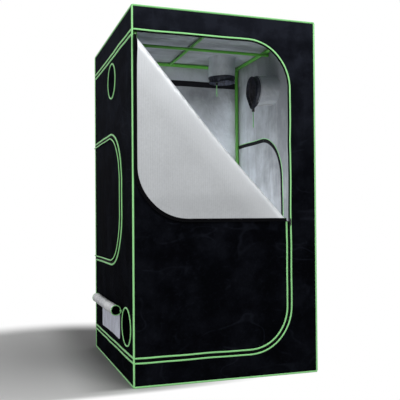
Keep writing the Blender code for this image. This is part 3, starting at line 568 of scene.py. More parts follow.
class Value:
    """A shader socket on which Python's arithmetic adds Math nodes."""

    def __init__(self, graph, socket):
        self.graph = graph
        self.socket = socket

    def math(self, operation, *others):
        """One Math node with this value first."""
        return self.graph.node("ShaderNodeMath", {"operation": operation}, dict(enumerate((self, *others))))

    def __add__(self, other):
        return self.math("ADD", other)

    def __mul__(self, other):
        return self.math("MULTIPLY", other)

    def __sub__(self, other):
        return self.math("SUBTRACT", other)

    def __rsub__(self, other):
        return self * -1.0 + other

    __radd__ = __add__
    __rmul__ = __mul__

    def sine(self):
        """Sine of the value in radians."""
        return self.math("SINE")

    def absolute(self):
        """Value without its sign."""
        return self.math("ABSOLUTE")

    def clamp(self):
        """Value held between 0 and 1."""
        return self.math("MAXIMUM", 0.0).math("MINIMUM", 1.0)

    def creased(self):
        """0 where the value is a half, rising to 1 on both sides."""
        return (self - 0.5).absolute() * 2.0

    def step(self, low, high):
        """0 below low, 1 above high and smooth between."""
        return self.graph.node("ShaderNodeMapRange", {"interpolation_type": "SMOOTHSTEP"},
                               {0: self, 1: low, 2: high})


class Graph:
    """The nodes of a material or a world."""

    def __init__(self, tree):
        self.tree = tree

    def plug(self, socket, value):
        """Link a value or write a constant."""
        if isinstance(value, Value):
            self.tree.links.new(value.socket, socket)
        else:
            socket.default_value = value

    def node(self, kind, settings=None, inputs=None, output=0):
        """A node by type, with its settings first and its sockets after."""
        made = self.tree.nodes.new(kind)
        for key, value in (settings or {}).items():
            setattr(made, key, value)
        for key, value in (inputs or {}).items():
            self.plug(made.inputs[key], value)
        return Value(self, made.outputs[output])

    def ray(self, kind):
        """1 on rays of a kind."""
        return self.node("ShaderNodeLightPath", output="Is {} Ray".format(kind))


class Finish(Graph):
    """A material under construction."""

    def __init__(self, name, color, roughness, metallic=0.0):
        self.material = bpy.data.materials.new(name)
        self.material.use_nodes = True
        super().__init__(self.material.node_tree)
        self.shader = self.tree.nodes["Principled BSDF"]
        self.set("Base Color", (*color, 1.0))
        self.set("Roughness", roughness)
        self.set("Metallic", metallic)
        self.material.diffuse_color = (*color, 1.0)
        self.where = self.node("ShaderNodeTexCoord", output="Object")

    def set(self, socket, value):
        """A constant or a link on one of the shader's sockets."""
        self.plug(self.shader.inputs[socket], value)

    def axis(self, name, vector=None):
        """One coordinate of the place on the object, or of another vector."""
        return self.node("ShaderNodeSeparateXYZ", None, {0: vector or self.where}, name)

    def cloth_place(self):
        """Distances along the cloth's two threads, in metres."""
        cloth = self.node("ShaderNodeTexCoord", output="UV")
        return [self.axis(name, cloth) for name in ("X", "Y")]

    def weave(self, pitch):
        """Height of a plain weave from -1 to 1."""
        u, v = self.cloth_place()
        turn = 2 * math.pi / pitch
        return (u * turn).sine() * (v * turn).sine()

    def noise(self, scale, detail=3.0, roughness=0.5, distortion=0.0, stretch=None):
        """Noise from 0 to 1 over the object, stretched along its axes or not."""
        where = self.where
        if stretch:
            where = self.node("ShaderNodeMapping", None, {"Vector": where, "Scale": stretch})
        return self.node("ShaderNodeTexNoise", None, {"Vector": where, "Scale": scale, "Detail": detail,
                                                      "Roughness": roughness, "Distortion": distortion})

    def mix(self, share, one, other):
        """A colour between two."""
        colors = {key: color if isinstance(color, Value) else (*color, 1.0)
                  for key, color in ((6, one), (7, other))}
        return self.node("ShaderNodeMix", {"data_type": "RGBA"}, {0: share, **colors}, 2)

    def coat(self, share, one, other, roughness, height, strength=1.0, specular=0.5):
        """A colour between two, a roughness and a height in metres, and the finished material."""
        self.set("Base Color", self.mix(share, one, other))
        self.set("Roughness", roughness)
        self.set("Normal", self.node("ShaderNodeBump", None, {"Height": height, "Distance": 1.0,
                                                              "Strength": strength}))
        self.set("Specular IOR Level", specular)
        return self.material


def shade(color, factor):
    """A colour made darker or lighter."""
    return tuple(min(channel * factor, 1.0) for channel in color)


# Finishes

def make_canvas():
    """Coarse black woven cloth, grey in random patches and flecks, with soft creases; painted light makes it
    paler towards the top and on the header band, and painted highlights run along crease lines.
    """
    cover = bpy.context.scene.tent_cover
    finish = Finish("black_canvas", cover.canvas, 0.62)
    weave = finish.weave(CANVAS_THREAD)
    cloudy = finish.noise(5.5, 5.0, 0.62)
    flecks = finish.noise(60.0, 3.0, 0.7)
    creases = finish.noise(7.0, 3.0, 0.5, 0.8, (1.0, 1.0, 0.55))
    height = finish.axis("Z")
    # Painted light makes the canvas paler towards the top and on the header band, and painted highlights run
    # along crease lines; the cloudy patches, flecks and weave are the cloth's own tone.
    header = height.step(DOOR_TOP + BEAD_OFFSET, DOOR_TOP + 4 * BEAD_OFFSET) * HEADER_GLOW
    upper_painted_light = height.step(PAINTED_LIGHT_FROM, DOOR_TOP) * PAINTED_LIGHT_SHARE + header
    wrinkles = finish.noise(3.4, 1.0, 0.4, 0.35, (1.0, 1.0, 1.9))
    crease_highlights = (1.0 - wrinkles.creased()).step(CREASE_HIGHLIGHT_FROM, 1.0) * creases.step(0.42, 0.6)
    wear_and_light = (cloudy.step(0.36, 0.74) * (0.35 + upper_painted_light) + flecks.step(0.5, 0.8) * 0.25 + weave * 0.06
            + upper_painted_light * 0.8 + crease_highlights * CREASE_HIGHLIGHT_SHARE)
    return finish.coat(wear_and_light, cover.canvas, cover.canvas_wear_and_light, 0.52 + cloudy * 0.22,
                       weave * 0.00022 + creases * 0.010 + flecks * 0.0006, 0.9, 0.0012)


def make_lining(name, lift):
    """Silver film over cloth, crinkled, with the cloth's print showing through; its tone is painted paler
    towards the far right corner and darker near the door on the right wall, high on the right wall and under
    the roof on the rear wall, as painted light and shade.
    """
    film = shade(bpy.context.scene.tent_cover.lining, lift)
    finish = Finish(name, film, 0.36, 0.55)
    weave = finish.weave(LINING_THREAD)
    clouds = finish.noise(2.6, 4.0, 0.6)
    folds = finish.noise(9.0, 4.0, 0.6, 0.7, (1.3, 3.2, 0.9)).creased()
    streaks = finish.noise(3.2, 3.0, 0.6, 0.6, (0.6, 5.0, 0.8))
    aside, deep, height = (finish.axis(name) for name in "XYZ")
    # Painted light and shade: the lining is paler towards the far right corner, darker near the door on the
    # right wall, high on the right wall and under the roof on the rear wall.
    right = aside.step(RIGHT_SIDE_FROM, PANEL_SIDE)
    under_roof = (height.step(*UNDER_ROOF_FROM) * deep.step(UNDER_ROOF_DEEP, PANEL_SIDE)
                  * (1.0 - height.step(*UNDER_ROOF_END)) * aside.step(*UNDER_ROOF_ASIDE))
    right_top = height.step(*RIGHT_TOP_FROM) * (1.0 - height.step(*RIGHT_TOP_END))
    painted_light_and_shade = (right * (deep.step(*NEAR_TO_FAR) * FAR_CORNER_PALE - NEAR_SIDE_DARK - right_top * RIGHT_TOP_DARK)
            - under_roof * UNDER_ROOF_DARK)
    tone = (clouds.step(0.3, 0.72) * 0.6 + folds * 0.22 + streaks.step(0.35, 0.7) * 0.22 + painted_light_and_shade).clamp()
    finish.set("Metallic", 0.26 + clouds * 0.16)
    return finish.coat(tone, shade(film, 0.55), shade(film, 1.55), 0.36 + clouds * 0.26,
                       weave * 0.0003 + folds * -0.0055 + clouds * 0.02 + streaks * 0.008, 0.9)


def make_flap_lining():
    """The door's lining seen in full light: pale film embossed in small upright cells, with a painted
    highlight along the fold and painted light paling the film near it.
    """
    color = bpy.context.scene.tent_cover.flap_lining
    finish = Finish("embossed_lining", color, 0.42, 0.12)
    u, v = finish.cloth_place()
    rows = (v * (math.pi / FLAP_CELL_HEIGHT)).sine().absolute()
    cells = (u * (math.pi / FLAP_CELL_WIDTH)).sine().absolute() * (0.8 + 0.2 * rows)
    clouds = finish.noise(6.0, 3.0, 0.55)
    soft = finish.noise(5.0, 2.0, 0.5, 0.6, (1.0, 1.0, 0.4))
    mottle = finish.noise(90.0, 3.0, 0.65)
    level = finish.node("ShaderNodeVectorMath", {"operation": "DOT_PRODUCT"},
                        {0: finish.where, 1: (FOLD_UP.x, 0.0, FOLD_UP.y)}, "Value")
    # Painted highlight in a narrow band along the fold, and painted light paling the film within FOLD_GLOW of
    # the fold.
    near = (level - (FOLD_MIDDLE_LEVEL - FOLD_BAND)).step(0.0, FOLD_BAND * FOLD_BAND_SOFT)
    beside = (level - (FOLD_MIDDLE_LEVEL - FOLD_GLOW)).step(0.0, FOLD_GLOW)
    tone = (cells * 0.24 + clouds * 0.45 + mottle.step(0.3, 0.7) * 0.3).clamp()
    film = finish.mix(tone, shade(color, 0.80), shade(color, 1.06))
    pale = finish.mix(beside * FOLD_PALE_SHARE, film, shade(color, 1.45))
    return finish.coat(near * FOLD_PALE_SHARE, pale, shade(color, 1.6), 0.5 - cells * 0.14,
                       cells * 0.0007 + soft * 0.006, 0.8)


def make_piping(name, depth):
    """Braided green piping or cord, paler or deeper."""
    trim = bpy.context.scene.tent_trim
    color = tuple(channel * depth ** power for channel, power in zip(trim.piping, (1.6, 1.0, 1.6)))
    finish = Finish(name, color, 0.42)
    u, v = finish.cloth_place()
    braid = (u * (2 * math.pi / BRAID_PITCH) + v * BRAID_TURN).sine()
    dust = finish.noise(22.0, 3.0, 0.6)
    tone = (dust * 0.6 + braid * 0.12 + 0.2).clamp()
    finish.set("Sheen Weight", 0.15)
    return finish.coat(tone, shade(color, 0.84), shade(color, 1.1), 0.36 + dust * 0.2, braid * 0.00035)


def make_tape(name, lift):
    """Ribbed zip tape with a stitch line near its outer edge; a lift above 1 makes the paler copy that is
    painted light on the tape inside the tent.
    """
    color = shade(bpy.context.scene.tent_trim.tape, lift)
    finish = Finish(name, color, 0.5)
    u = finish.cloth_place()[0]
    rib = (u * (2 * math.pi / TOOTH_PITCH)).sine()
    stitch = (u * (2 * math.pi / STITCH_PITCH)).sine().step(-0.2, 0.3)
    dust = finish.noise(30.0, 3.0, 0.6)
    tone = (stitch * 0.35 + dust * 0.5).clamp()
    return finish.coat(tone, color, shade(color, 2.0), 0.42 + dust * 0.22, rib * 0.00018 + stitch * 0.0002,
                       specular=0.004)


def make_coil():
    """Moulded zip coil with small teeth."""
    tape = bpy.context.scene.tent_trim.tape
    finish = Finish("zip_coil", shade(tape, 1.6), 0.3)
    teeth = (finish.cloth_place()[0] * (2 * math.pi / TOOTH_PITCH)).sine()
    return finish.coat(teeth.step(-0.4, 0.6), tape, shade(tape, 3.0), 0.26 + finish.noise(40.0) * 0.16,
                       teeth * 0.0005, specular=0.02)


def make_duct_cloth():
    """The sleeve's thin black cloth seen from inside the duct: a paler copy of the black cloth as painted
    sheen, paler still on its gathers.
    """
    color = bpy.context.scene.tent_cover.canvas_wear_and_light
    finish = Finish("duct_cloth", shade(color, 3.0), 0.5)
    gathers = finish.noise(60.0, 3.0, 0.6, 0.5, (1.0, 1.0, 0.3))
    return finish.coat(gathers.step(0.3, 0.75), shade(color, 2.0), shade(color, 8.0), 0.4 + gathers * 0.2,
                       gathers * 0.003)


def make_cuff():
    """Thin black gathered cloth with a slight shine."""
    cover = bpy.context.scene.tent_cover
    color = shade(cover.canvas, CUFF_PALER)
    finish = Finish("cuff_cloth", color, 0.4)
    pulls = finish.noise(45.0, 3.0, 0.6, 0.5)
    return finish.coat(pulls.step(0.35, 0.8), color, shade(cover.canvas_wear_and_light, 2.4), 0.3 + pulls * 0.2,
                       finish.weave(CUFF_THREAD) * 0.00015 + pulls * 0.003, specular=0.22)


def make_vent_mesh():
    """Pale fine mesh: threads with dark holes between them."""
    color = bpy.context.scene.tent_hardware.vent_mesh
    finish = Finish("vent_mesh", color, 0.5)
    u, v = ((place * (math.pi / MESH_PITCH)).sine().absolute() for place in finish.cloth_place())
    holes = (u * v).step(0.35, 0.85)
    cloudy = finish.noise(24.0, 3.0, 0.6)
    tucks = finish.noise(30.0, 2.0, 0.5, 0.6, (1.0, 1.0, 0.35)).step(0.4, 0.65)
    tone = (holes * 0.3 + cloudy * 0.2 + tucks * 0.35).clamp()
    return finish.coat(tone, shade(color, 1.1), shade(color, 0.6), 0.45 + holes * 0.2,
                       holes * -0.0004 + cloudy * 0.003 + tucks * 0.004, 0.9)


def make_steel(name, lift):
    """Green powder coat: fine orange peel, dulled patches and scuffs along the tube."""
    color = shade(bpy.context.scene.tent_hardware.steel, lift)
    finish = Finish(name, color, 0.36)
    dull = finish.noise(9.0, 4.0, 0.6)
    scuffs = finish.noise(6.0, 3.0, 0.7, 0.0, (30.0, 30.0, 4.0)).step(0.62, 0.74)
    tone = (dull * 0.7 + scuffs * 0.3).clamp()
    finish.set("Coat Weight", 0.25)
    finish.set("Coat Roughness", 0.2)
    return finish.coat(tone, shade(color, 0.7), shade(color, 1.45), 0.3 + dull * 0.16 + scuffs * 0.14,
                       finish.noise(420.0, 2.0, 0.5) * 0.00012)


def make_plastic(name, roughness):
    """Black moulded plastic or enamel, finely grained."""
    color = bpy.context.scene.tent_hardware.plastic
    finish = Finish(name, color, roughness)
    rub = finish.noise(120.0, 3.0, 0.6)
    return finish.coat(rub.step(0.45, 0.75), color, shade(color, 2.4), roughness - 0.06 + rub * 0.16,
                       finish.noise(900.0, 2.0, 0.5) * 0.00008)


def make_tray_sheet():
    """Coated waterproof cloth of the floor tray."""
    finish = Finish("tray_sheet", (0.03, 0.03, 0.034), 0.42)
    creases = finish.noise(9.0, 4.0, 0.6, 1.0)
    return finish.coat(creases.step(0.4, 0.75), (0.022, 0.022, 0.026), (0.06, 0.06, 0.066),
                       0.34 + creases * 0.2, finish.weave(TRAY_THREAD) * 0.0002 + creases.creased() * 0.003)


MATERIAL_MAKERS = {
    "canvas": make_canvas,
    "lining": lambda: make_lining("silver_lining", 1.0),
    # The vent roll's lining is a paler copy of the lining: painted light.
    "roll_lining": lambda: make_lining("roll_lining", 1.5),
    "flap_lining": make_flap_lining,
    "piping": lambda: make_piping("green_piping", 1.0),
    # Deeper copy of the piping for the top edges: painted shade.
    "top_piping": lambda: make_piping("top_piping", 0.8),
    "cord": lambda: make_piping("green_cord", 0.85),
    "tape": lambda: make_tape("zip_tape", 1.0),
    # The tape's side inside the tent is a paler copy of the tape: painted light.
    "inner_tape": lambda: make_tape("inner_tape", 3.2),
    "coil": make_coil,
    "cuff": make_cuff,
    "duct": make_duct_cloth,
    # Paler copies of the lining on the port sleeves, the right wall's paler still: painted light; the seam's
    # much paler copy is a painted highlight along each wall sleeve's lowest line.
    "sleeve": lambda: make_lining("sleeve_lining", 1.05),
    "wall_sleeve": lambda: make_lining("wall_sleeve_lining", 1.6),
    "seam": lambda: make_lining("seam_lining", 2.8),
    "mesh": make_vent_mesh,
    "steel": lambda: make_steel("green_powder_coat", 1.2),
    # Paler copy of the powder coat for the top bars and crossbars: painted light.
    "top_steel": lambda: make_steel("top_powder_coat", 2.1),
    "plastic": lambda: make_plastic("moulded_plastic", 0.42),
    "enamel": lambda: make_plastic("black_enamel", 0.3),
    "tray": make_tray_sheet,
}
MATERIALS = {}


def material(name):
    """A finish by name, made when first asked for."""
    if name not in MATERIALS:
        MATERIALS[name] = MATERIAL_MAKERS[name]()
    return MATERIALS[name]


# Mesh building

class Piece:
    """Points, faces, cloth distances and finishes of one object."""

    def __init__(self):
        self.points = []
        self.faces = []
        self.uvs = []
        self.slots = []

    def face(self, corners, uvs=None, slot=0):
        """One face with its cloth distances, if it has any."""
        self.faces.append(corners)
        self.uvs.extend(uvs or [(0.0, 0.0)] * len(corners))
        self.slots.append(slot)

    def grid(self, rings, uv_rings, slot=0, joined=False, looped=True):
        """Quads between rings of points; looped closes each ring, joined ties the last to the first."""
        start = len(self.points)
        count = len(rings[0])
        for ring in rings:
            self.points.extend(ring)
        for near in range(len(rings) if joined else len(rings) - 1):
            far = (near + 1) % len(rings)
            near_uv, far_uv = uv_rings[near], uv_rings[near + 1]
            for k in range(count if looped else count - 1):
                m = (k + 1) % count
                self.face((start + near * count + k, start + near * count + m, start + far * count + m,
                           start + far * count + k),
                          (near_uv[k], near_uv[k + 1], far_uv[k + 1], far_uv[k]), slot)
        return start

    def capped(self, rings, uv_rings, slot=0):
        """A grid with both end rings closed."""
        start = self.grid(rings, uv_rings, slot)
        count = len(rings[0])
        end = start + (len(rings) - 1) * count
        self.face(list(range(start, start + count))[::-1], slot=slot)
        self.face(list(range(end, end + count)), slot=slot)

    def strip(self, rings, lengths, around, slot=0, closed=False):
        """Rings along a path, with the distances along it and around a ring; closed joins the ends."""
        lengths = [*lengths, lengths[-1] + SWEEP_STEP]
        uv_rings = [[(length, distance) for distance in around] for length in lengths]
        if closed:
            self.grid(rings, uv_rings, slot, True)
        else:
            self.capped(rings, uv_rings, slot)

    def build(self, name, materials, sharp=SHARP_DEG):
        """Make the object."""
        mesh = bpy.data.meshes.new(name)
        mesh.from_pydata([tuple(point) for point in self.points], [], self.faces)
        for entry in materials:
            mesh.materials.append(material(entry))
        mesh.polygons.foreach_set("material_index", self.slots)
        layer = mesh.uv_layers.new(name="UVMap")
        layer.data.foreach_set("uv", [value for uv in self.uvs for value in uv])
        mesh.shade_smooth()
        mesh.set_sharp_from_angle(angle=math.radians(sharp))
        return placed(name, mesh)


def placed(name, data):
    """An object of some data, put in the scene."""
    made = bpy.data.objects.new(name, data)
    bpy.context.scene.collection.objects.link(made)
    return made


def sweep(piece, face, path, section, slot=0, closed=False):
    """A section of (side, height) points carried along a path that follows the cloth."""
    path = densify(path, SWEEP_STEP, closed)
    rings = [[face.cloth(u + nu * side, v + nv * side, height) for side, height in section][::-1]
             for (u, v), (nu, nv) in zip(path, path_normals(path, closed))]
    piece.strip(rings, travelled(path), travelled(section + section[:1]), slot, closed)


def half_round(radius, foot):
    """Section of a bead with a flat foot."""
    return [(u, foot + v) for u, v in arc((0.0, 0.0), radius, 0.0, 180.0, BEAD_STEPS)]


def band(one, other, low, high):
    """Section of a flat tape between two side distances."""
    near, far = min(one, other), max(one, other)
    return [(far, low), (far, high), (near, high), (near, low)]


def tube_along(piece, points, radius, sides, closed=False):
    """A round cord through points in space."""
    points = [Vector(point) for point in points]
    count = len(points)
    turn = 2 * math.pi / sides
    rings = []
    side = None
    for k, point in enumerate(points):
        before = points[k - 1] if closed or k > 0 else point
        after = points[(k + 1) % count] if closed or k < count - 1 else point
        axis = (after - before).normalized()
        if side is None:
            side = axis.orthogonal().normalized()
        side = (side - axis * side.dot(axis)).normalized()
        across = axis.cross(side)
        rings.append([point + side * (radius * math.cos(m * turn)) + across * (radius * math.sin(m * turn))
                      for m in range(sides)])
    piece.strip(rings, travelled(points), [radius * m * turn for m in range(sides + 1)], 0, closed)


def crossings(points, loops):
    """Whether points lie inside an outline and outside its holes."""
    inside = np.zeros(len(points), bool)
    for loop in loops:
        ends = np.array(loop)
        for (u0, v0), (u1, v1) in zip(ends, np.roll(ends, -1, axis=0)):
            if v0 == v1:
                continue
            spans = (points[:, 1] < v0) != (points[:, 1] < v1)
            where = u0 + (points[:, 1] - v0) * (u1 - u0) / (v1 - v0)
            inside ^= spans & (points[:, 0] < where)
    return inside


def edge_distance(points, loops):
    """Distance from each point to the nearest outline."""
    nearest = np.full(len(points), np.inf)
    for loop in loops:
        ends = np.array(loop)
        for start, end in zip(ends, np.roll(ends, -1, axis=0)):
            step = end - start
            share = np.clip(((points - start) @ step) / max(step @ step, 1e-12), 0, 1)
            nearest = np.minimum(nearest, np.linalg.norm(points - start - share[:, None] * step, axis=1))
    return nearest


def fill_outline(outline, holes, spacing):
    """Even triangles over an outline with holes."""
    loops = [densify(loop, spacing, True) for loop in [outline] + holes]
    edges = []
    points = []
    for loop in loops:
        start = len(points)
        points += loop
        edges += [(start + k, start + (k + 1) % len(loop)) for k in range(len(loop))]
    low = np.min(np.array(loops[0]), axis=0)
    high = np.max(np.array(loops[0]), axis=0)
    rise = spacing * math.sqrt(3) / 2
    inner = []
    for row in range(int((high[1] - low[1]) / rise) + 1):
        offset = spacing / 2 if row % 2 else 0.0
        columns = int((high[0] - low[0]) / spacing) + 1
        inner += [(low[0] + offset + spacing * k, low[1] + rise * row) for k in range(columns)]
    inner = np.array(inner)
    kept = crossings(inner, loops) & (edge_distance(inner, loops) > spacing * EDGE_CLEARANCE)
    points += [tuple(point) for point in inner[kept]]
    made = delaunay_2d_cdt([Vector(point) for point in points], edges, [], 0, MERGE_DISTANCE)
    coordinates = [tuple(point) for point in made[0]]
    triangles = np.array(made[2])
    middles = np.array(coordinates)[triangles].mean(axis=1)
    return coordinates, triangles[crossings(middles, loops)].tolist()


def polygon_area(loop):
    """Area of a closed outline."""
    return abs(sum(a[0] * b[1] - b[0] * a[1] for a, b in zip(loop, loop[1:] + loop[:1]))) / 2


def cloth_panel(name, face, outline, holes=(), finishes=CLOTH_FINISHES, rise=None, spacing=None):
    """A sheet over an outline: outer skin, inner skin and a cut edge."""
    spacing = spacing or bpy.context.scene.tent_cover.mesh_spacing
    coordinates, triangles = fill_outline(outline, list(holes), spacing)
    count = len(coordinates)
    piece = Piece()
    for side in (HALF_FABRIC, -HALF_FABRIC):
        piece.points += [face.at(u, v, rise(u, v) + side) if rise else face.cloth(u, v, side)
                         for u, v in coordinates]
    used = set()
    for a, b, c in triangles:
        (au, av), (bu, bv), (cu, cv) = coordinates[a], coordinates[b], coordinates[c]
        if (bu - au) * (cv - av) - (bv - av) * (cu - au) < 0.0:
            b, c = c, b
        piece.face((a, b, c), [coordinates[k] for k in (a, b, c)])
        piece.face((c + count, b + count, a + count), [coordinates[k] for k in (c, b, a)], 1)
        used.update(((a, b), (b, c), (c, a)))
    for a, b in used:
        if (b, a) not in used:
            piece.face((a, a + count, b + count, b), [coordinates[k] for k in (a, a, b, b)])
    return piece.build(name, finishes)


def attach(made, body, node=None):
    """Let an object ride a body and take a solid's place."""
    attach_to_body(made, body)
    if node:
        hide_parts(node)


def declare_sheet(made, body, node, outline, holes=(), trim=None):
    """Attach a flat sheet and the trim sewn on it."""
    us, vs = zip(*outline)
    flat = (max(us) - min(us), max(vs) - min(vs))
    area = polygon_area(outline) - sum(polygon_area(hole) for hole in holes)
    area = max(area, LEAST_AREA_SHARE * flat[0] * flat[1])
    attach(made, body, node)
    if trim:
        attach(trim, body)


# Cover

def port_hole(place):
    """Round hole for a port's sleeve."""
    return circle(place, SLEEVE_R + SLEEVE_FABRIC + SEAT_GAP, HOLE_STEPS)


def zip_half(piece, face, path, side):
    """One half of a zip: coil and tape outside, broad tape on the lining. Returns the broad tape's width."""
    trim = bpy.context.scene.tent_trim
    middle = side * (ZIP_GAP / 2 + trim.coil_radius)
    sweep(piece, face, path, [(middle + u, v) for u, v in half_round(trim.coil_radius, HALF_FABRIC)], 2)
    tape = band(side * (ZIP_GAP / 2 + 2 * trim.coil_radius), side * (BEAD_OFFSET - PIPING_R), HALF_FABRIC,
                HALF_FABRIC + TAPE_THICK)
    sweep(piece, face, path, tape, 1)
    width = trim.tape_width * (WINDOW_TAPE_SHARE if face in (LEFT, RIGHT) else 1.0)
    sweep(piece, face, path, band(side * TAPE_MEET, side * width, -HALF_FABRIC - TAPE_THICK, -HALF_FABRIC), 3)
    return width


def fixed_trim(opening, seams):
    """Piping, zip halves and inner tape that stay on the wall."""
    piece = Piece()
    face = opening.face
    aside = face in (LEFT, RIGHT)
    bead = half_round(BEAD_R * SIDE_BEAD_SHARE if aside else BEAD_R, 0.0)
    sweep(piece, face, opening.curve(BEAD_OFFSET, BEAD_END_GAP), bead)
    width = zip_half(piece, face, opening.curve(0.0, BEAD_END_GAP), opening.sign)
    if aside:
        cord = [(u, -v) for u, v in half_round(INNER_CORD_R, HALF_FABRIC)][::-1]
        sweep(piece, face, opening.curve(width + INNER_CORD_R, BEAD_END_GAP), cord)
    for seam in seams:
        sweep(piece, face, seam, bead)
    reach = BEAD_OFFSET - PIPING_R
    for low, high in zip(seams[::2], seams[1::2]):
        middle = [((a[0] + b[0]) / 2, (a[1] + b[1]) / 2) for a, b in zip(low, high)]
        sweep(piece, face, middle, band(-reach, reach, HALF_FABRIC, HALF_FABRIC + TAPE_THICK), 1)
    return piece.build(face.name + "_wall_trim", TRIM_FINISHES)


def vent_outline(inset):
    """The vent's opening, with its foot drawn up in the middle by the slack mesh."""
    outline = rounded_rectangle(-VENT_REAR + inset, VENT_BOTTOM + inset, -VENT_FRONT - inset,
                                VENT_TOP - inset, VENT_CORNER_R, VENT_CORNER_STEPS)
    bowed = []
    for u, v in densify(outline, SWEEP_STEP, True):
        share = (u + VENT_REAR) / (VENT_REAR - VENT_FRONT)
        foot = ease((VENT_TOP - v) / (VENT_TOP - VENT_BOTTOM))
        bowed.append((u, v + VENT_BOW * foot * math.sin(math.pi * share) ** 2))
    return bowed


def seam_lines():
    """Two pairs of straight seams across a side wall."""
    side = PANEL_SIDE - BEAD_END_GAP
    levels = [middle + step for middle in (DOOR_BOTTOM, DOOR_TOP) for step in (-BEAD_OFFSET, BEAD_OFFSET)]
    return [[(-side, level), (side, level)] for level in levels]


def make_cover():
    """Floor, roof and the four walls."""
    square = [(-PANEL_SIDE, -PANEL_SIDE), (PANEL_SIDE, -PANEL_SIDE), (PANEL_SIDE, PANEL_SIDE),
              (-PANEL_SIDE, PANEL_SIDE)]
    floor = cloth_panel("floor_cloth", FLOOR, square)
    declare_sheet(floor, "tent", "floor_panel", square)
    holes = [port_hole(ROOF_PORT)]
    roof = cloth_panel("roof_cloth", ROOF, square, holes)
    declare_sheet(roof, "tent", "roof_panel", square, holes)

    left_holes = [port_hole(LEFT_UPPER_PORT), port_hole(LEFT_LOWER_PORT), vent_outline(0.0)]
    rows = (("front_surround", FRONT_DOOR, [], []), ("rear_surround", REAR_DOOR, [], []),
            ("left_wall", LEFT_WINDOW, left_holes, seam_lines()),
            ("right_wall", RIGHT_WINDOW, [port_hole(RIGHT_UPPER_PORT)], seam_lines()))
    for node, opening, holes, seams in rows:
        outline = surround_outline(opening)
        wall = cloth_panel(node + "_cloth", opening.face, outline, holes)
        declare_sheet(wall, "tent", node, outline, holes, fixed_trim(opening, seams))


def make_closed_panels():
    """Rear door and side windows, zipped shut."""
    for node, opening in (("rear_door", REAR_DOOR), ("left_window", LEFT_WINDOW),
                          ("right_window", RIGHT_WINDOW)):
        face = opening.face
        outline = opening.curve(-ZIP_GAP / 2)
        panel = cloth_panel(node + "_cloth", face, outline)
        piece = Piece()
        bound = opening.curve(-BEAD_OFFSET, BEAD_END_GAP)
        if face is REAR:
            sweep(piece, face, bound, half_round(BEAD_R, 0.0))
        else:
            sweep(piece, face, bound, band(-WELT_HALF, WELT_HALF, HALF_FABRIC, WELT_HEIGHT + WELT_LAP), 1)
            sweep(piece, face, bound, half_round(WELT_CORD_R, WELT_HEIGHT))
        zip_half(piece, face, opening.curve(0.0, BEAD_END_GAP), -opening.sign)
        trim = piece.build(node + "_trim", TRIM_FINISHES)
        declare_sheet(panel, node, node, outline, trim=trim)


def make_edge_piping():
    """Piping of the tent's twelve edges."""
    loop = rounded_rectangle(-SEAM, -SEAM, SEAM, SEAM, EDGE_TURN_R, EDGE_CORNER_STEPS)
    loop = densify(loop, EDGE_PIPING_STEP, True)
    # The top edges take the deeper copy of the piping: painted shade.
    rows = [("bottom", [(u, v, PIPING_R + EDGE_PIPING_LIFT) for u, v in loop], "piping", True),
            ("top", [(u, v, SEAM_TOP) for u, v in loop], "top_piping", True)]
    levels = [PANEL_LOW + (PANEL_HIGH - PANEL_LOW) * k / EDGE_PIPING_ROWS
              for k in range(EDGE_PIPING_ROWS + 1)]
    for end, y in (("front", -SEAM), ("rear", SEAM)):
        for side, x in (("left", -SEAM), ("right", SEAM)):
            rows.append((end + "_" + side, [(x, y, level) for level in levels], "piping", False))
    for name, points, finish, closed in rows:
        piece = Piece()
        tube_along(piece, points, EDGE_PIPING_R, EDGE_PIPING_SIDES, closed)
        node = "piping_" + name
        attach(piece.build(node + "_cord", [finish]), "tent", node)


# Front door

def fold_sag(share):
    """How far the hanging fold's line sags at a share of its length."""
    return FOLD_SAG * math.sin(math.pi * min(max(share, 0.0), 1.0) ** FOLD_SAG_SKEW)


def fold_point(share, below=0.0):
    """A place on the sagging fold, or below it."""
    share = min(max(share, 0.0), 1.0)
    return FOLD_HEAD + FOLD_ALONG * (FOLD_LENGTH * share) - FOLD_UP * (fold_sag(share) + below)


def fold_distance(u, v):
    """Distance below the hanging fold."""
    offset = Vector((u, v)) - FOLD_HEAD
    return -offset.dot(FOLD_UP) - fold_sag(offset.dot(FOLD_ALONG) / FOLD_LENGTH)


def make_front_door():
    """The zipped lower part of the front door."""
    kept = [point for point in FRONT_DOOR.curve(-ZIP_GAP / 2) if fold_distance(*point) > FOLD_LIP]
    edge = [tuple(fold_point(k / FOLD_STEPS, FOLD_LIP)) for k in range(FOLD_STEPS, 0, -1)]
    outline = (kept + [(DOOR_FREE - ZIP_GAP / 2, FOLD_FOOT_HANGING - FOLD_LIP)] + edge
               + [(-PANEL_SIDE, FOLD_HEAD.y - FOLD_LIP)])
    panel = cloth_panel("door_panel_cloth", FRONT, outline)
    lines = []
    for grow in (-BEAD_OFFSET, 0.0):
        line = [point for point in FRONT_DOOR.curve(grow, BEAD_END_GAP)
                if point[1] < FOLD_FOOT_HANGING - DOOR_CORNER_R]
        lines.append(line + [(DOOR_FREE + grow, FOLD_FOOT_HANGING - PIPING_R)])
    piece = Piece()
    sweep(piece, FRONT, lines[0], half_round(BEAD_R, 0.0))
    zip_half(piece, FRONT, lines[1], -1.0)
    trim = piece.build("door_panel_trim", TRIM_FINISHES)
    declare_sheet(panel, "front_door", "door_panel", outline, trim=trim)


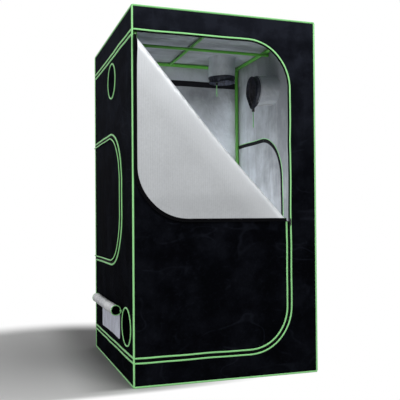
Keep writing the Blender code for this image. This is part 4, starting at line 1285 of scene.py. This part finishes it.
def flap_curve():
    """Free edge of the hanging flap, from the fold's head down, round the corner and along the foot."""
    head = FOLD_HEAD.y - (FLAP_LEFT - FOLD_HEAD.x) * -FOLD_ALONG.y / FOLD_ALONG.x - 2 * FOLD_LIP
    centre = (FLAP_LEFT + FLAP_CORNER, FOLD_FOOT_HANGING + FLAP_CORNER)
    corner = arc(centre, FLAP_CORNER, 180.0, 270.0, D_STEPS)
    return [(FLAP_LEFT, head)] + corner + [(FOLD_FOOT.x - 2 * FOLD_LIP, FOLD_FOOT_HANGING)]


def flap_rise(u, v):
    """How far the hanging flap stands off the door: a rolled fold, a soft belly and shallow waves."""
    below = max(fold_distance(u, v), 0.0) / FOLD_ROLL_WIDTH
    roll = below * math.exp(1.0 - below)
    edge = min(u - FLAP_LEFT, v - FOLD_FOOT_HANGING)
    hold = ease(edge / FLAP_HELD_EDGE) * ease(below / FLAP_HELD_FOLD)
    wave, fine = (noise.noise(Vector((u * across, seed, v * up)))
                  for across, seed, up in (FLAP_WAVE_AT, FLAP_FINE_AT))
    belly = FLAP_BELLY * hold * (FLAP_FULL_SHARE + FLAP_WAVE_SHARE * wave + FLAP_FINE_SHARE * fine)
    return FLAP_STANDOFF + FOLD_ROLL_HEIGHT * roll + belly


def flap_strip(piece, path, one, other, low, high, slot):
    """A strip that follows the hanging flap's surface beside a path."""
    path = densify(path, FLAP_GRID)
    sides = [other + (one - other) * k / STRIP_COLUMNS for k in range(STRIP_COLUMNS + 1)]
    section = [(side, high) for side in sides] + [(side, low) for side in reversed(sides)]
    rings = []
    for (u, v), (nu, nv) in zip(path, path_normals(path)):
        spots = [(u + nu * side, v + nv * side, height) for side, height in section]
        rings.append([FRONT.at(u, v, height + flap_rise(u, v)) for u, v, height in spots][::-1])
    around = [STRIP_PITCH * k for k in range(len(section) + 1)]
    piece.strip(rings, travelled(path), around, slot)


def make_flap():
    """The unzipped upper half of the door, folded down with its lining outward."""
    curve = flap_curve()
    outline = curve + [tuple(fold_point(k / FOLD_STEPS, FOLD_LIP)) for k in range(FOLD_STEPS - 1, 0, -1)]
    flap = cloth_panel("door_flap_cloth", FRONT, outline, (), ["flap_lining", "canvas"], flap_rise, FLAP_GRID)
    piece = Piece()
    flap_strip(piece, curve, -FLAP_TAPE, 0.0, HALF_FABRIC, HALF_FABRIC + 2 * TAPE_THICK, 1)
    flap_strip(piece, curve, 0.0, FLAP_TAPE_OUTSIDE, -HALF_FABRIC, HALF_FABRIC + TAPE_THICK, 2)
    flap_strip(piece, curve, -BEAD_OFFSET - PIPING_R, -BEAD_OFFSET + PIPING_R, -HALF_FABRIC - PIPING_R,
               -HALF_FABRIC, 0)
    trim = piece.build("door_flap_trim", TRIM_FINISHES)
    declare_sheet(flap, "front_flap", "door_flap", outline, trim=trim)
    for made in (flap, trim):
        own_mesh(made)


def make_bend():
    """The bend itself: a strip with one edge on the door's plane and the other on the hanging flap.

    Near the fold's foot that other edge would turn past the door's free edge, so it ends sooner.
    """
    rings, lengths = [], []
    for k in range(FOLD_STEPS + 1):
        along = BEND_HEAD + (FOLD_LENGTH - BEND_HEAD - BEND_FOOT) * k / FOLD_STEPS
        past = max(along - BEND_TURNED_END, 0.0)
        base = fold_point(along / FOLD_LENGTH)
        turned = fold_point((along - past * (1.0 - BEND_TURNED_CREEP)) / FOLD_LENGTH)
        corners = ((base, BEND_LAP, -HALF_FABRIC), (turned, BEND_LAP, FLAP_STANDOFF + HALF_FABRIC),
                   (turned, -BEND_LAP, FLAP_STANDOFF - HALF_FABRIC), (base, -BEND_LAP, HALF_FABRIC))
        rings.append([FRONT.at(*(edge + FOLD_UP * lift), out) for edge, lift, out in corners])
        lengths.append(along)
    strip = Piece()
    strip.strip(rings, lengths, [STRIP_PITCH * m for m in range(5)])
    bend = strip.build("door_fold", ["flap_lining", "canvas"])
    for polygon in bend.data.polygons:
        under = polygon.index >= 4 * FOLD_STEPS or polygon.index % 4 in (2, 3)
        polygon.material_index = 1 if under else 0
    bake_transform(bend)


# Duct ports

class Port:
    """A duct port: its face and place, which way its cuff droops, and how far its cord hangs."""

    def __init__(self, name, face, place, drop, seed):
        self.name = name
        self.face = face
        self.place = place
        self.drop = drop
        self.seed = seed
        self.axial = face is ROOF
        self.low = math.radians(ROOF_LOW_DEG if self.axial else DOWN_DEG)
        self.side = Vector((math.cos(self.low), math.sin(self.low)))

    def point(self, depth, radius, gather, angle):
        """A point of the port's cloth at an angle round it."""
        lean = max(math.cos(angle - self.low), 0.0)
        peak = lean ** PLEAT_COUNT
        pleats = bpy.context.scene.tent_hardware.pleats
        ripple = math.cos(pleats * angle + PLEATS_UNEVEN * math.sin(3 * angle + self.seed))
        smooth = PLEATS_FAR_SIDE + (1.0 - PLEATS_FAR_SIDE) * lean
        reach = radius + PLEAT_DEPTH * gather * ripple * smooth
        drop = 0.0
        across = 1.0
        if self.axial:
            depth += ROOF_SLACK * ease(depth / SLEEVE_LENGTH) + (TEAR_DROP - ROOF_SLACK) * gather * peak
        else:
            reach += (TEAR_DROP + MOUTH_OVERHANG) * gather * peak
            drop = SLEEVE_SAG * max(depth, 0.0) / SLEEVE_LENGTH
            across = (1.0 - MOUTH_NARROWING * ease(gather)) * (1.0 - MOUTH_PINCH * gather * lean * lean)
        return self.face.at(self.place[0] + self.side.x * drop + across * reach * math.cos(angle),
                            self.place[1] + self.side.y * drop + reach * math.sin(angle), -depth)

    def cord_exit(self):
        """Place just under the cuff's lowest point, where the cord comes out."""
        outer = SLEEVE_R + SLEEVE_FABRIC
        depth = SLEEVE_LENGTH - CUFF_LENGTH / 2
        pleat = PLEAT_DEPTH * math.cos(PLEAT_COUNT * self.low)
        if self.axial:
            reach = outer - (CUFF_DRAW + SLEEVE_FABRIC) / 2 + GATHER_END_SHARE * pleat
            depth = SLEEVE_LENGTH + GATHER_END_SHARE * TEAR_DROP + SEAT_GAP
        else:
            reach = outer - CUFF_DRAW + pleat + TEAR_DROP + SLEEVE_SAG * depth / SLEEVE_LENGTH + SEAT_GAP
        return self.face.at(self.place[0] + self.side.x * reach, self.place[1] + self.side.y * reach, -depth)


PORTS = (Port("left_upper", LEFT, LEFT_UPPER_PORT, 0.125, 0),
         Port("left_lower", LEFT, LEFT_LOWER_PORT, 0.085, 1),
         Port("right_upper", RIGHT, RIGHT_UPPER_PORT, 0.125, 2),
         Port("roof", ROOF, ROOF_PORT, 0.100, 3))


def round_cloth(piece, port, profile):
    """A closed band of cloth round a port: profile rows give depth, radius and gathering."""
    turn = 2 * math.pi / PORT_SIDES
    lengths = travelled([row[:2] for row in profile])
    for slot, half in ((0, HALF_FABRIC), (1, -HALF_FABRIC)):
        rings = [[port.point(depth, radius + half, gather, m * turn) for m in range(PORT_SIDES)]
                 for depth, radius, gather in profile]
        uv_rings = [[(row[1] * m * turn, length) for m in range(PORT_SIDES + 1)]
                    for row, length in zip(profile, lengths)]
        piece.grid([ring[::-1] for ring in rings] if slot else rings, uv_rings, slot)
    total = len(profile) * PORT_SIDES
    start = len(piece.points) - 2 * total
    for row, flip in ((0, False), (len(profile) - 1, True)):
        outer = start + row * PORT_SIDES
        inner = outer + total + PORT_SIDES - 1
        for m in range(PORT_SIDES):
            n = (m + 1) % PORT_SIDES
            corners = (outer + m, inner - m, inner - n, outer + n)
            piece.face(corners if flip else corners[::-1])


def sleeve_seam(piece, port, profile):
    """The turned seam that runs along the sleeve's lowest line."""
    corners = ((SEAM_LOW, -SEAM_TURN_DEG), (SEAM_LOW, SEAM_TURN_DEG), (SEAM_HIGH, SEAM_TURN_DEG),
               (SEAM_HIGH, -SEAM_TURN_DEG))
    rings = [[port.point(depth, radius + lift, gather, port.low + math.radians(side))
              for lift, side in corners] for depth, radius, gather in profile[1:-1]]
    piece.strip(rings, [SEAM_PITCH * k for k in range(len(rings))], [SEAM_ROUND * m for m in range(5)], 2)


def make_ports():
    """Ring, sleeve and gathered cuff of each port."""
    edge = SLEEVE_LENGTH - CUFF_LENGTH
    middle = SLEEVE_R + HALF_FABRIC
    for port in PORTS:
        node = "port_" + port.name
        ring = Piece()
        sweep(ring, port.face, circle(port.place, PORT_RING_R, RING_STEPS)[::-1],
              half_round(BEAD_R, HALF_FABRIC), 0, True)
        sweep(ring, port.face, circle(port.place, PORT_RING_R - COLLAR_INSET, RING_STEPS)[::-1],
              band(-COLLAR_HALF, COLLAR_HALF, HALF_FABRIC, 3 * HALF_FABRIC), 1, True)
        ring = ring.build("port_ring_" + port.name, ["piping", "canvas"])

        profile = []
        for share in (row / SLEEVE_ROWS for row in range(SLEEVE_ROWS + 1)):
            bulge = SLEEVE_BULGE * math.sin(math.pi * share * SLEEVE_WAVES + port.seed)
            profile.append((-HALF_FABRIC + (edge + SLEEVE_LAP) * share,
                            middle + bulge * math.sin(math.pi * share), GATHER_START_SHARE * share ** 3))
        sleeve = Piece()
        round_cloth(sleeve, port, profile)
        if not port.axial:
            sleeve_seam(sleeve, port, profile)
        # The roof port's inside takes the duct cloth, painted sheen; the right port's inside takes the cuff
        # cloth.
        inside = {ROOF: "duct", RIGHT: "cuff"}.get(port.face, "canvas")
        # The right port's sleeve takes the paler wall_sleeve copy of the lining: painted light.
        outside = "wall_sleeve" if port.face is RIGHT else "sleeve"
        sleeve = sleeve.build("port_sleeve_" + port.name, [outside, inside, "seam"])

        cuff = Piece()
        round_cloth(cuff, port, [(edge + CUFF_LENGTH * share, middle + offset, gather)
                                 for share, offset, gather in CUFF_ROWS])
        cuff = cuff.build("port_cuff_" + port.name, ["cuff", inside], CUFF_SHARP_DEG)
        for made, slot in ((ring, "piping"), (sleeve, "lining"), (cuff, "canvas")):
            attach(made, "tent", node)


def smooth_route(points, spacing):
    """Evenly spaced points on a smooth curve through the route's own points."""
    padded = [points[0] * 2 - points[1]] + points + [points[-1] * 2 - points[-2]]
    route = [points[0]]
    for k in range(1, len(padded) - 2):
        a, b, c, d = padded[k - 1:k + 3]
        steps = max(1, round((c - b).length / spacing))
        for t in (step / steps for step in range(1, steps + 1)):
            route.append((b * 2 + (c - a) * t + (a * 2 - b * 5 + c * 4 - d) * (t * t)
                          + (b * 3 - a - c * 3 + d) * (t * t * t)) / 2)
    return route


def make_drawcords():
    """Cord loops of the cuffs."""
    for port in PORTS:
        top = port.cord_exit()
        across = (X_AXIS - Y_AXIS if port.axial else Y_AXIS + X_AXIS * WALL_STRAND_SPREAD).normalized()
        straight = port.drop - LOOP_BEND
        steps = round(straight / LOOP_BEND)
        strand = [(STRAND_SPACING / 2, straight * k / steps) for k in range(steps + 1)]
        strand.append((LOOP_HALF_WIDTH, straight + LOOP_BEND / 2))
        route = [top + across * side - Z_AXIS * down for side, down in strand]
        route.append(top - Z_AXIS * port.drop)
        route += [top - across * side - Z_AXIS * down for side, down in reversed(strand)]
        points = smooth_route(route, CORD_STEP_DIAMETERS * 2 * CORD_R)
        curve = bpy.data.curves.new("drawcord", "CURVE")
        curve.dimensions = "3D"
        curve.bevel_depth = CORD_R
        curve.bevel_resolution = 3
        curve.use_fill_caps = True
        curve.resolution_u = 1
        spline = curve.splines.new("POLY")
        spline.points.add(len(points) - 1)
        for point, spot in zip(spline.points, points):
            point.co = (*spot, 1.0)
        curve.materials.append(material("cord"))
        cord = placed("cord_" + port.name, curve)
        attach(cord, "tent", "drawcord_" + port.name)
        length = sum((b - a).length for a, b in zip(points, points[1:]))


# Vent

def roll_line():
    """The rolled flap's section: from its hem on the wall, wound inward, as (out, up)."""
    wall = 2 * HALF_FABRIC + SEAT_GAP
    line = [(wall, ROLL_HEM + ROLL_PITCH)]
    for share in (k / ROLL_STEPS for k in range(ROLL_STEPS + 1)):
        radius = ROLL_R - ROLL_PITCH * ROLL_TURNS * share
        angle = math.pi + 2 * math.pi * ROLL_TURNS * share
        line.append((wall + ROLL_R + radius * math.cos(angle), ROLL_HEM - ROLL_R + radius * math.sin(angle)))
    return line


def roll_section(line, share, side):
    """Points of the roll's outer (1) or inner (-1) skin at a share of its length."""
    y = ROLL_FRONT + (ROLL_REAR - ROLL_FRONT) * share
    ring = []
    for m, ((u, v), (nu, nv)) in enumerate(zip(line, path_normals(line))):
        loose = ease(m / ROLL_HELD_STEPS) * ease((len(line) - 1 - m) / ROLL_HELD_STEPS)
        place = Vector((y * ROLL_WRINKLE_ALONG, u * ROLL_WRINKLE_ACROSS, v * ROLL_WRINKLE_ACROSS))
        offset = side * HALF_FABRIC + ROLL_WRINKLE * noise.noise(place) * loose
        sag = ROLL_SAG * math.sin(math.pi * share) * ease(m / ROLL_SAG_STEPS)
        ring.append(Vector((-SEAM - u - nu * offset, y, v + nv * offset - sag)))
    return ring


def make_vent():
    """Mesh panel with its lower edge pulled out of line, and the flap rolled up above it."""
    outline = vent_outline(SEAT_GAP)
    mesh = cloth_panel("vent_mesh_cloth", LEFT, outline, (), ["mesh", "mesh"])
    declare_sheet(mesh, "tent", "vent_mesh", outline)

    line = roll_line()
    lengths = travelled(line)
    outer, inner = ([roll_section(line, k / ROLL_STATIONS, side) for k in range(ROLL_STATIONS + 1)]
                    for side in (1, -1))
    piece = Piece()
    uv_rings = [[(length, (ROLL_REAR - ROLL_FRONT) * k / ROLL_STATIONS) for length in lengths]
                for k in range(ROLL_STATIONS + 1)]
    one = piece.grid([ring[::-1] for ring in outer], uv_rings, 0, looped=False)
    other = piece.grid(inner, uv_rings, 1, looped=False)
    count = len(line)
    last = count - 1
    for station, flip in ((0, True), (ROLL_STATIONS, False)):
        near, far = one + station * count + last, other + station * count
        for m in range(last):
            corners = (near - m, near - m - 1, far + m + 1, far + m)
            piece.face(corners[::-1] if flip else corners, slot=1)
    for near in range(0, ROLL_STATIONS * count, count):
        for m_one, m_other, flip in ((last, 0, True), (0, last, False)):
            corners = (one + near + m_one, one + near + count + m_one, other + near + count + m_other,
                       other + near + m_other)
            piece.face(corners[::-1] if flip else corners, slot=1)
    roll = piece.build("vent_roll_cloth", ["roll_lining", "canvas"])

    binding = Piece()
    for station in (0, ROLL_STATIONS):
        ring = [(a + b) / 2 for a, b in zip(outer[station], inner[station])]
        tube_along(binding, ring[1:BINDING_POINTS], BINDING_R, BINDING_SIDES)
    binding = binding.build("vent_roll_binding", ["piping"])
    attach(roll, "vent_roll", "vent_flap")
    attach(binding, "vent_roll")


# Floor tray

def make_tray():
    """Waterproof tray: soft rounded foot, slightly wavy sides and a turned-out rim."""
    low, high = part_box("floor_tray")
    half = high.x - TRAY_RIM
    rows = [(grow, low.z + rise) for grow, rise in TRAY_FOOT]
    rows += [(0.0, high.z - TRAY_WALL), (TRAY_RIM - TRAY_RIM_ROUND, high.z - TRAY_WALL),
             (TRAY_RIM, high.z - TRAY_WALL / 2), (TRAY_RIM - TRAY_RIM_ROUND, high.z), (-TRAY_WALL, high.z)]
    rows += [(grow - TRAY_WALL, low.z + rise + (TRAY_WALL if grow else 0.0))
             for grow, rise in TRAY_FOOT[::-1]]
    rings = []
    for grow, z in rows:
        side = half + grow
        outline = rounded_rectangle(-side, -side, side, side, TRAY_CORNER_R + grow, TRAY_CORNER_STEPS)
        soft = ease((z - low.z) / TRAY_HELD_EDGE) * ease((high.z - z) / TRAY_HELD_EDGE + TRAY_RIM_FREE)
        ring = []
        for u, v in densify(outline, SWEEP_STEP, True):
            place = Vector((u * TRAY_SLACK_SCALE, v * TRAY_SLACK_SCALE, TRAY_SLACK_SEED))
            push = -TRAY_SLACK * soft * (1 + noise.noise(place))
            ring.append(Vector((u * (1 + push / half), v * (1 + push / half), z)))
        rings.append(ring)
    count = len(rings[0])
    if any(len(ring) != count for ring in rings):
        raise RuntimeError("the tray's outlines have different numbers of points")
    piece = Piece()
    piece.capped(rings, [[(4 * half * m / count, TRAY_ROW_PITCH * k) for m in range(count + 1)]
                         for k in range(len(rings))])
    tray = piece.build("floor_tray_cloth", ["tray"])
    attach(tray, "tray", "floor_tray")
    side = 2 * half + 2 * (high.z - low.z)
    side * side - 4 * TRAY_CUT_CORNER ** 2


# Hard pieces keep their solids and get a better finish

def refinish(prefixes, finish):
    """Give a finish to every solid whose name starts so."""
    nodes = [node for name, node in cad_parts.items() if name.startswith(prefixes)]
    if not nodes:
        raise RuntimeError("no solid is named {}".format(prefixes))
    for node in nodes:
        for slot in node.material_slots:
            slot.material = material(finish)


# Stage

def make_camera():
    """Camera at the photograph's angle."""
    data = bpy.data.cameras.new("camera")
    data.sensor_width = SENSOR_MM
    data.lens = FOCAL_PX / IMAGE_PX * SENSOR_MM
    data.shift_x = (IMAGE_PX / 2 - CENTRE_X_PX) / IMAGE_PX
    data.shift_y = (CENTRE_Y_PX - IMAGE_PX / 2) / IMAGE_PX
    data.clip_end = CAMERA_REACH
    camera = placed("camera", data)
    yaw, pitch, roll = (math.radians(angle) for angle in (CAMERA_YAW_DEG, CAMERA_PITCH_DEG, CAMERA_ROLL_DEG))
    forward = Vector((math.sin(yaw) * math.cos(pitch), math.cos(yaw) * math.cos(pitch), math.sin(pitch)))
    right = Vector((math.cos(yaw), -math.sin(yaw), 0.0))
    up = right.cross(forward)
    level_right = right * math.cos(roll) + up * math.sin(roll)
    level_up = up * math.cos(roll) - right * math.sin(roll)
    turn = Matrix((level_right, level_up, -forward)).transposed().to_4x4()
    camera.matrix_world = Matrix.Translation(CAMERA_PLACE) @ turn
    bpy.context.scene.camera = camera


def make_lamp(name, power, place, target, size, spread):
    """A large square lamp aimed at a point."""
    data = bpy.data.lights.new(name, "AREA")
    data.shape = "SQUARE"
    data.size = size
    data.energy = power
    data.spread = math.radians(spread)
    lamp = placed(name, data)
    lamp.rotation_mode = "QUATERNION"
    lamp.rotation_quaternion = (Vector(target) - Vector(place)).to_track_quat("-Z", "Y")
    lamp.location = place
    lamp.visible_camera = False


def make_world(strength):
    """Even light, and plain white where the camera, a gloss or a glass looks past the object."""
    world = bpy.data.worlds.new("studio")
    bpy.context.scene.world = world
    world.use_nodes = True
    graph = Graph(world.node_tree)
    graph.tree.nodes.clear()
    seen = (graph.ray("Camera") + graph.ray("Glossy") + graph.ray("Transmission")).clamp()
    light = graph.node("ShaderNodeBackground", None, {"Strength": strength})
    white = graph.node("ShaderNodeBackground", None, {"Color": WHITE})
    out = graph.tree.nodes.new("ShaderNodeOutputWorld")
    graph.plug(out.inputs["Surface"], graph.node("ShaderNodeMixShader", None, {0: seen, 1: light, 2: white}))


def make_floor(color):
    """Pale floor that fades to white away from the object and keeps its shadow; a painted shadow also darkens
    its colour round SHADOW_CENTRE and along the tent's left foot.
    """
    mesh = bpy.data.meshes.new("stage_floor")
    corners = ((-1, -1), (1, -1), (1, 1), (-1, 1))
    mesh.from_pydata([(FLOOR_REACH * x, FLOOR_REACH * y, FLOOR_LEVEL) for x, y in corners], [],
                     [range(len(corners))])
    finish = Finish("stage_floor", color, 0.9)
    finish.set("Roughness", 0.85 + finish.noise(40.0, 2.0) * 0.1)
    distance = finish.node("ShaderNodeVectorMath", {"operation": "DISTANCE"},
                           {0: finish.where, 1: SHADOW_CENTRE}, "Value")
    forward = finish.axis("Y") * -1.0
    away = (distance.step(SHADOW_KEPT, SHADOW_GONE) + forward.step(FRONT_KEPT, FRONT_GONE)).clamp()
    # Painted shadow: the floor's colour is darker round SHADOW_CENTRE and along the tent's left foot, except
    # in front.
    behind = 1.0 - forward.step(FOOT_SHADE_FRONT, FRONT_KEPT)
    foot = finish.axis("X").step(FOOT_SHADE_LEFT, -SEAM) * behind
    far = finish.mix(distance.step(0.0, SHADOW_GONE), shade(color, SHADE_KEPT), color)
    finish.set("Base Color", finish.mix(foot * FOOT_SHADE, far, shade(color, FOOT_SHADE_DEPTH)))
    glow = finish.node("ShaderNodeEmission", None, {"Strength": 1.0})
    mixed = finish.node("ShaderNodeMixShader", None, {0: away * finish.ray("Camera"),
                                                      1: Value(finish, finish.shader.outputs[0]), 2: glow})
    finish.plug(finish.tree.nodes["Material Output"].inputs["Surface"], mixed)
    mesh.materials.append(finish.material)
    placed("stage_floor", mesh)


# Operators, one for each piece or group of pieces

class TENT_OT_stage(bpy.types.Operator):
    """Camera, floor, sky and lamps"""

    bl_idname = "tent.stage"
    bl_label = "Stage"
    bl_options = {"REGISTER", "UNDO"}

    def execute(self, context):
        settings = context.scene.tent_stage
        make_camera()
        make_floor(settings.floor)
        make_world(settings.ambient)
        for name, setting, place, target, size, spread in LAMPS:
            make_lamp(name, getattr(settings, setting), place, target, size, spread)
        context.scene.view_settings.view_transform = "Standard"
        return {"FINISHED"}


class TENT_OT_drawcords(bpy.types.Operator):
    """Hanging cord loops of the duct cuffs"""

    bl_idname = "tent.drawcords"
    bl_label = "Drawcords"
    bl_options = {"REGISTER", "UNDO"}

    def execute(self, context):
        make_drawcords()
        return {"FINISHED"}


class TENT_OT_cover(bpy.types.Operator):
    """Floor, roof and walls with their trim"""

    bl_idname = "tent.cover"
    bl_label = "Cover"
    bl_options = {"REGISTER", "UNDO"}

    def execute(self, context):
        make_cover()
        return {"FINISHED"}


class TENT_OT_closed_panels(bpy.types.Operator):
    """Rear door and side windows, zipped shut"""

    bl_idname = "tent.closed_panels"
    bl_label = "Doors and windows"
    bl_options = {"REGISTER", "UNDO"}

    def execute(self, context):
        make_closed_panels()
        return {"FINISHED"}


class TENT_OT_front_door(bpy.types.Operator):
    """Zipped part of the front door"""

    bl_idname = "tent.front_door"
    bl_label = "Front door"
    bl_options = {"REGISTER", "UNDO"}

    def execute(self, context):
        make_front_door()
        return {"FINISHED"}


class TENT_OT_flap(bpy.types.Operator):
    """Folded part of the front door, with its bend"""

    bl_idname = "tent.flap"
    bl_label = "Door flap"
    bl_options = {"REGISTER", "UNDO"}

    def execute(self, context):
        make_flap()
        make_bend()
        return {"FINISHED"}


class TENT_OT_piping(bpy.types.Operator):
    """Piping of the tent's edges"""

    bl_idname = "tent.piping"
    bl_label = "Edge piping"
    bl_options = {"REGISTER", "UNDO"}

    def execute(self, context):
        make_edge_piping()
        return {"FINISHED"}


class TENT_OT_ports(bpy.types.Operator):
    """Rings, sleeves and gathered cuffs of the duct ports"""

    bl_idname = "tent.ports"
    bl_label = "Duct ports"
    bl_options = {"REGISTER", "UNDO"}

    def execute(self, context):
        make_ports()
        return {"FINISHED"}


class TENT_OT_vent(bpy.types.Operator):
    """Vent mesh and its rolled flap"""

    bl_idname = "tent.vent"
    bl_label = "Vent"
    bl_options = {"REGISTER", "UNDO"}

    def execute(self, context):
        make_vent()
        return {"FINISHED"}


class TENT_OT_tray(bpy.types.Operator):
    """Waterproof floor tray"""

    bl_idname = "tent.tray"
    bl_label = "Floor tray"
    bl_options = {"REGISTER", "UNDO"}

    def execute(self, context):
        make_tray()
        return {"FINISHED"}


class TENT_OT_hardware(bpy.types.Operator):
    """Finishes of tubes, locks and zip sliders"""

    bl_idname = "tent.hardware"
    bl_label = "Frame and fittings"
    bl_options = {"REGISTER", "UNDO"}

    def execute(self, context):
        refinish(("corner_", "post_", "bar_bottom_"), "steel")
        # Top bars and crossbars take the paler copy of the powder coat: painted light.
        refinish(("bar_top_", "crossbar_"), "top_steel")
        refinish(("cord_lock_",), "plastic")
        refinish(("zip_",), "enamel")
        return {"FINISHED"}


OPERATORS = (TENT_OT_stage, TENT_OT_drawcords, TENT_OT_cover, TENT_OT_closed_panels, TENT_OT_front_door,
             TENT_OT_flap, TENT_OT_piping, TENT_OT_ports, TENT_OT_vent, TENT_OT_tray, TENT_OT_hardware)
GROUPS = {"tent_cover": TentCover, "tent_trim": TentTrim, "tent_hardware": TentHardware,
          "tent_stage": TentStage}


class TENT_PT_panel(bpy.types.Panel):
    """Settings and pieces of the grow tent."""

    bl_idname = "TENT_PT_panel"
    bl_label = "Grow Tent"
    bl_space_type = "VIEW_3D"
    bl_region_type = "UI"
    bl_category = "Grow Tent"

    def draw(self, context):
        for name in GROUPS:
            box = self.layout.box()
            settings = getattr(context.scene, name)
            for key in settings.__annotations__:
                box.prop(settings, key)
        column = self.layout.column()
        for entry in OPERATORS:
            column.operator(entry.bl_idname)


def register():
    """Add the settings, operators and panel."""
    for entry in (*GROUPS.values(), *OPERATORS, TENT_PT_panel):
        bpy.utils.register_class(entry)
    for name, group in GROUPS.items():
        setattr(bpy.types.Scene, name, PointerProperty(type=group))


def unregister():
    """Take them away again."""
    for name in GROUPS:
        delattr(bpy.types.Scene, name)
    for entry in (TENT_PT_panel, *OPERATORS[::-1], *GROUPS.values()):
        bpy.utils.unregister_class(entry)


def main():
    """Dress the tent."""
    register()
    for entry in OPERATORS:
        getattr(bpy.ops.tent, entry.bl_idname.split(".")[1])()


if __name__ == "__main__":
    main()
